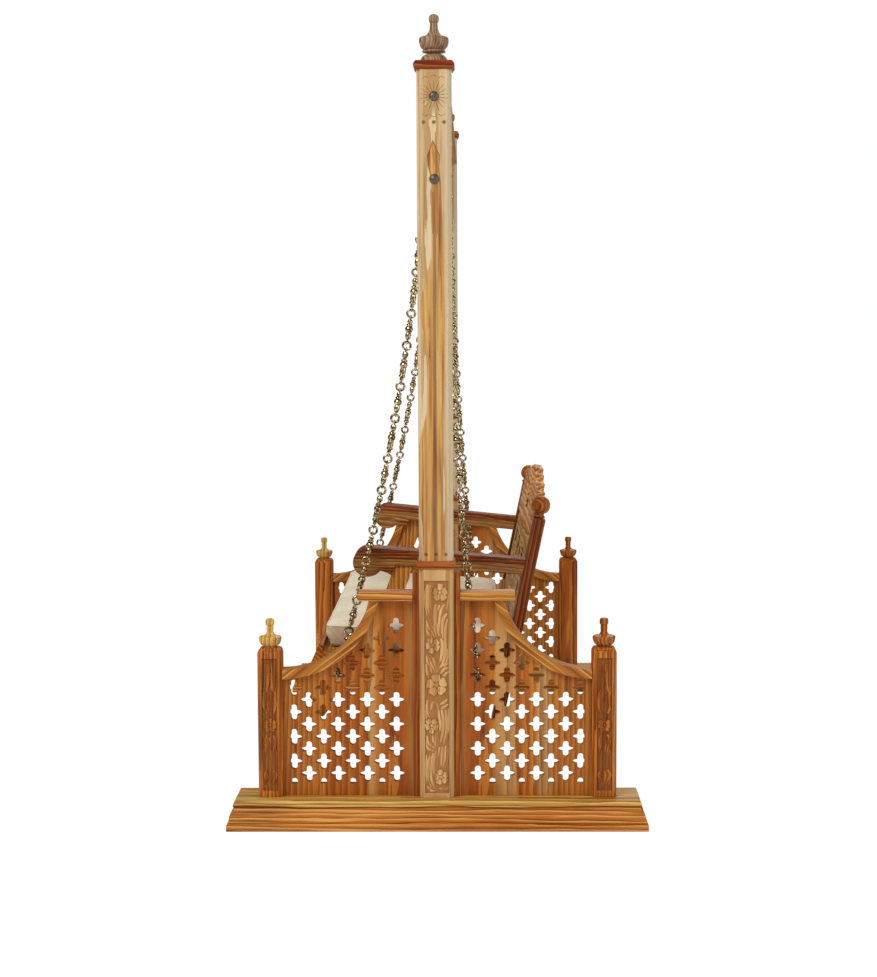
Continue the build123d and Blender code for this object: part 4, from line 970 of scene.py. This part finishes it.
def make_cushion():
    """The soft pad on the slats, in place of the frame's plain one."""
    pad = filled(cushion_block())
    smooth = pad.modifiers.new("soft", "SMOOTH")
    smooth.iterations = 4
    smooth.factor = 0.5
    rounding = pad.modifiers.new("rounding", "SUBSURF")
    rounding.levels = rounding.render_levels = 1
    apply_modifiers(pad)
    pad.name = "seat_cushion"
    coat(pad, CREAM_CLOTH, SHADED_SIDE_CLOTH)
    for face in pad.data.polygons:
        # The boxing below the seam takes the darker cloth, painted shade of the sides.
        face.material_index = 1 if face.center.z < SEAM else 0
        face.use_smooth = True
    for piece in (pad, make_welt(pad)):
        piece.matrix_world = SEAT_FRAME
        settle(piece)
        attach(piece, "swing")
    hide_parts("cushion")


def make_welt(pad):
    """The piping that covers the seam between the top and the boxing."""
    select()
    bpy.ops.curve.primitive_bezier_circle_add(location=(0, 0, 0))
    ring = bpy.context.object
    spline = ring.data.splines[0]
    spots = []
    for x, y in ((-1, -1), (1, -1), (1, 1), (-1, 1)):
        corner_x = x * CUSHION_HALF
        corner_y = CUSHION_FRONT - CUSHION_OVERHANG if y < 0 else CUSHION_REAR
        first = Vector((corner_x, corner_y - y * PIPING_CORNER, SEAM))
        last = Vector((corner_x - x * PIPING_CORNER, corner_y, SEAM))
        spots += [first, last] if x * y > 0 else [last, first]
    spline.bezier_points.add(len(spots) - len(spline.bezier_points))
    for point, spot in zip(spline.bezier_points, spots):
        point.co = spot
    befores, afters = spots[-1:] + spots[:-1], spots[1:] + spots[:1]
    for point, before, after in zip(spline.bezier_points, befores, afters):
        point.handle_left_type = point.handle_right_type = "FREE"
        for handle, other in (("handle_left", before), ("handle_right", after)):
            gap = other - point.co
            if gap.length > 3 * PIPING_CORNER:
                pull = gap / 3
            elif abs(abs(point.co.x) - CUSHION_HALF) < 1e-6:
                pull = Vector((0, gap.y, 0)) * 0.55
            else:
                pull = Vector((gap.x, 0, 0)) * 0.55
            setattr(point, handle, point.co + pull)
    ring.data.resolution_u = 40
    ring.data.dimensions = "3D"
    ring = converted("MESH")
    hug = ring.modifiers.new("hug", "SHRINKWRAP")
    hug.target = pad
    hug.wrap_method = "NEAREST_SURFACEPOINT"
    apply_modifiers(ring)
    for vertex in ring.data.vertices:
        vertex.co.z = SEAM
    ring = converted("CURVE")
    ring.data.bevel_depth = PIPING
    ring.data.bevel_resolution = 2
    ring = converted("MESH")
    ring.name = "cushion_welt"
    coat(ring, CREAM_CLOTH)
    for face in ring.data.polygons:
        face.use_smooth = True
    return ring


# ------------------------------ stage, light and camera
CAMERA_PLACE = (5.9656, 0.0936, 1.342)
CAMERA_YAW = math.radians(0.9942)
CAMERA_PITCH = math.radians(5.0854)
CAMERA_ROLL = math.radians(-0.2761)
CAMERA_LENS = 70.713
FLOOR_GLOW = 1.07                   # strength of the white that the eye sees
FLOOR_CLEAR = 0.92                  # share of that white over the shaded floor
SKY, SKY_IN_GLOSS = 0.55, 0.14      # strength of the light around, and of its reflection
WARM, WARM_IN_GLOSS = (1.0, 0.96, 0.88, 1), (1.0, 0.82, 0.58, 1)
# Lamps: (name, place, height of the target, length of each side, power).
LAMPS = (("key", (4.2, -2.6, 4.6), 0.8, 2.4, 150), ("fill", (3.4, 4.2, 2.6), 0.8, 3.0, 60),
         ("back", (-4.5, 1.0, 4.0), 1.0, 3.0, 80))


def make_camera():
    """A camera at eye height, far out to the left of the swing."""
    data = bpy.data.cameras.new("camera")
    data.sensor_fit = "VERTICAL"
    data.sensor_height = 36
    data.lens = CAMERA_LENS
    camera = bpy.data.objects.new("camera", data)
    bpy.context.collection.objects.link(camera)
    forward = Vector((-math.cos(CAMERA_PITCH) * math.cos(CAMERA_YAW),
                      -math.cos(CAMERA_PITCH) * math.sin(CAMERA_YAW), -math.sin(CAMERA_PITCH)))
    turn = forward.to_track_quat("-Z", "Y").to_matrix().to_4x4()
    camera.matrix_world = (Matrix.Translation(CAMERA_PLACE) @ turn
                           @ Matrix.Rotation(CAMERA_ROLL, 4, "Z"))
    bpy.context.scene.camera = camera
    bpy.context.scene.view_settings.view_transform = "Standard"


def seen_directly(tree):
    """1 for the rays of the camera and for clear rays, and 0 for the light on the object."""
    rays = add_node(tree, "ShaderNodeLightPath").outputs
    return add_node(tree, "ShaderNodeMath",
                    {0: rays["Is Camera Ray"], 1: rays["Is Transmission Ray"]},
                    operation="MAXIMUM").outputs[0]


def show(tree, output, share, usual, direct):
    """Mix two shaders, the second one for what is seen directly, into the output."""
    mixed = add_node(tree, "ShaderNodeMixShader", {"Fac": share, 1: usual, 2: direct})
    feed(tree, tree.nodes[output], {"Surface": mixed.outputs["Shader"]})


def make_floor():
    """A floor that looks almost white and still takes the shadows of the swing."""
    select()
    bpy.ops.mesh.primitive_grid_add(x_subdivisions=4, y_subdivisions=4, size=60, location=(0, 0, 0))
    floor = bpy.context.object
    floor.name = "studio_floor"
    finish = Finish("studio_white", Base_Color=(0.86, 0.86, 0.86, 1), Roughness=0.9,
                    Specular_IOR_Level=0.0)
    glow = finish.node("ShaderNodeEmission", {"Strength": FLOOR_GLOW})
    show(finish.tree, "Material Output", finish.times(seen_directly(finish.tree), FLOOR_CLEAR),
         finish.surface.outputs["BSDF"], glow.outputs["Emission"])
    floor.data.materials.append(finish.material)


def make_world():
    """A soft warm light from all around, with white behind the swing."""
    world = bpy.data.worlds.new("studio")
    bpy.context.scene.world = world
    world.use_nodes = True
    tree = world.node_tree
    glossy = add_node(tree, "ShaderNodeLightPath").outputs["Is Glossy Ray"]
    strength = add_node(tree, "ShaderNodeMapRange",
                        {"Value": glossy, "To Min": SKY, "To Max": SKY_IN_GLOSS})
    tone = add_node(tree, "ShaderNodeMix", {0: glossy, 6: WARM, 7: WARM_IN_GLOSS}, data_type="RGBA")
    soft = tree.nodes["Background"]
    feed(tree, soft, {"Color": tone.outputs[2], "Strength": strength.outputs["Result"]})
    white = add_node(tree, "ShaderNodeBackground", {"Color": (1, 1, 1, 1), "Strength": 1.0})
    show(tree, "World Output", seen_directly(tree), soft.outputs["Background"],
         white.outputs["Background"])


def make_lights():
    """The light from all around and three large lamps."""
    make_world()
    for name, place, target, side, power in LAMPS:
        data = bpy.data.lights.new(name, "AREA")
        data.shape = "RECTANGLE"
        data.size = data.size_y = side
        data.energy = power
        lamp = bpy.data.objects.new(name, data)
        bpy.context.collection.objects.link(lamp)
        lamp.location = place
        aim = Vector((0, 0, target)) - Vector(place)
        lamp.rotation_euler = aim.to_track_quat("-Z", "Y").to_euler()


# ------------------------------ making it all
make_camera()
BRASS = brass()
IRON = iron()
CREAM_CLOTH = cloth("cream_cloth", colour(246, 236, 214), colour(222, 208, 180))
# Darker cloth for the boxing: painted shade on the sides, which face away from the light above.
SHADED_SIDE_CLOTH = cloth("shaded_side_cloth", colour(214, 194, 166), colour(168, 146, 120))
# The grooves value of a finish is how much painted shade darkens its hollows.
CARVED_PALE = teak("carved_pale_teak", CARVED, "Z", (1.02, 0.01, 0), grooves=0.9, tint=None)
CUT_LINE = teak("cut_line_teak", INCISED, "Z", (1.02, 0.01, 0))
CARVED_BROWN = teak("carved_brown_teak", BROWN, "Z", (0.9, 0.45, 0), grooves=0.6)
CARVED_ASH = teak("carved_ash_teak", ASH, "X", (0, 0.42, 0.40), grooves=0.75)
CARVED_HONEY = teak("carved_honey_teak", AMBER, "X", (0, 0.42, 0.60), grooves=0.6, tint=None)
dress_nodes()
PETAL = petal()
BOSS = boss()
carve_posts()
carve_corner_posts()
carve_rosettes()
carve_back()
carve_crest()
remove(PETAL)
remove(BOSS)
make_cushion()
make_floor()
make_lights()
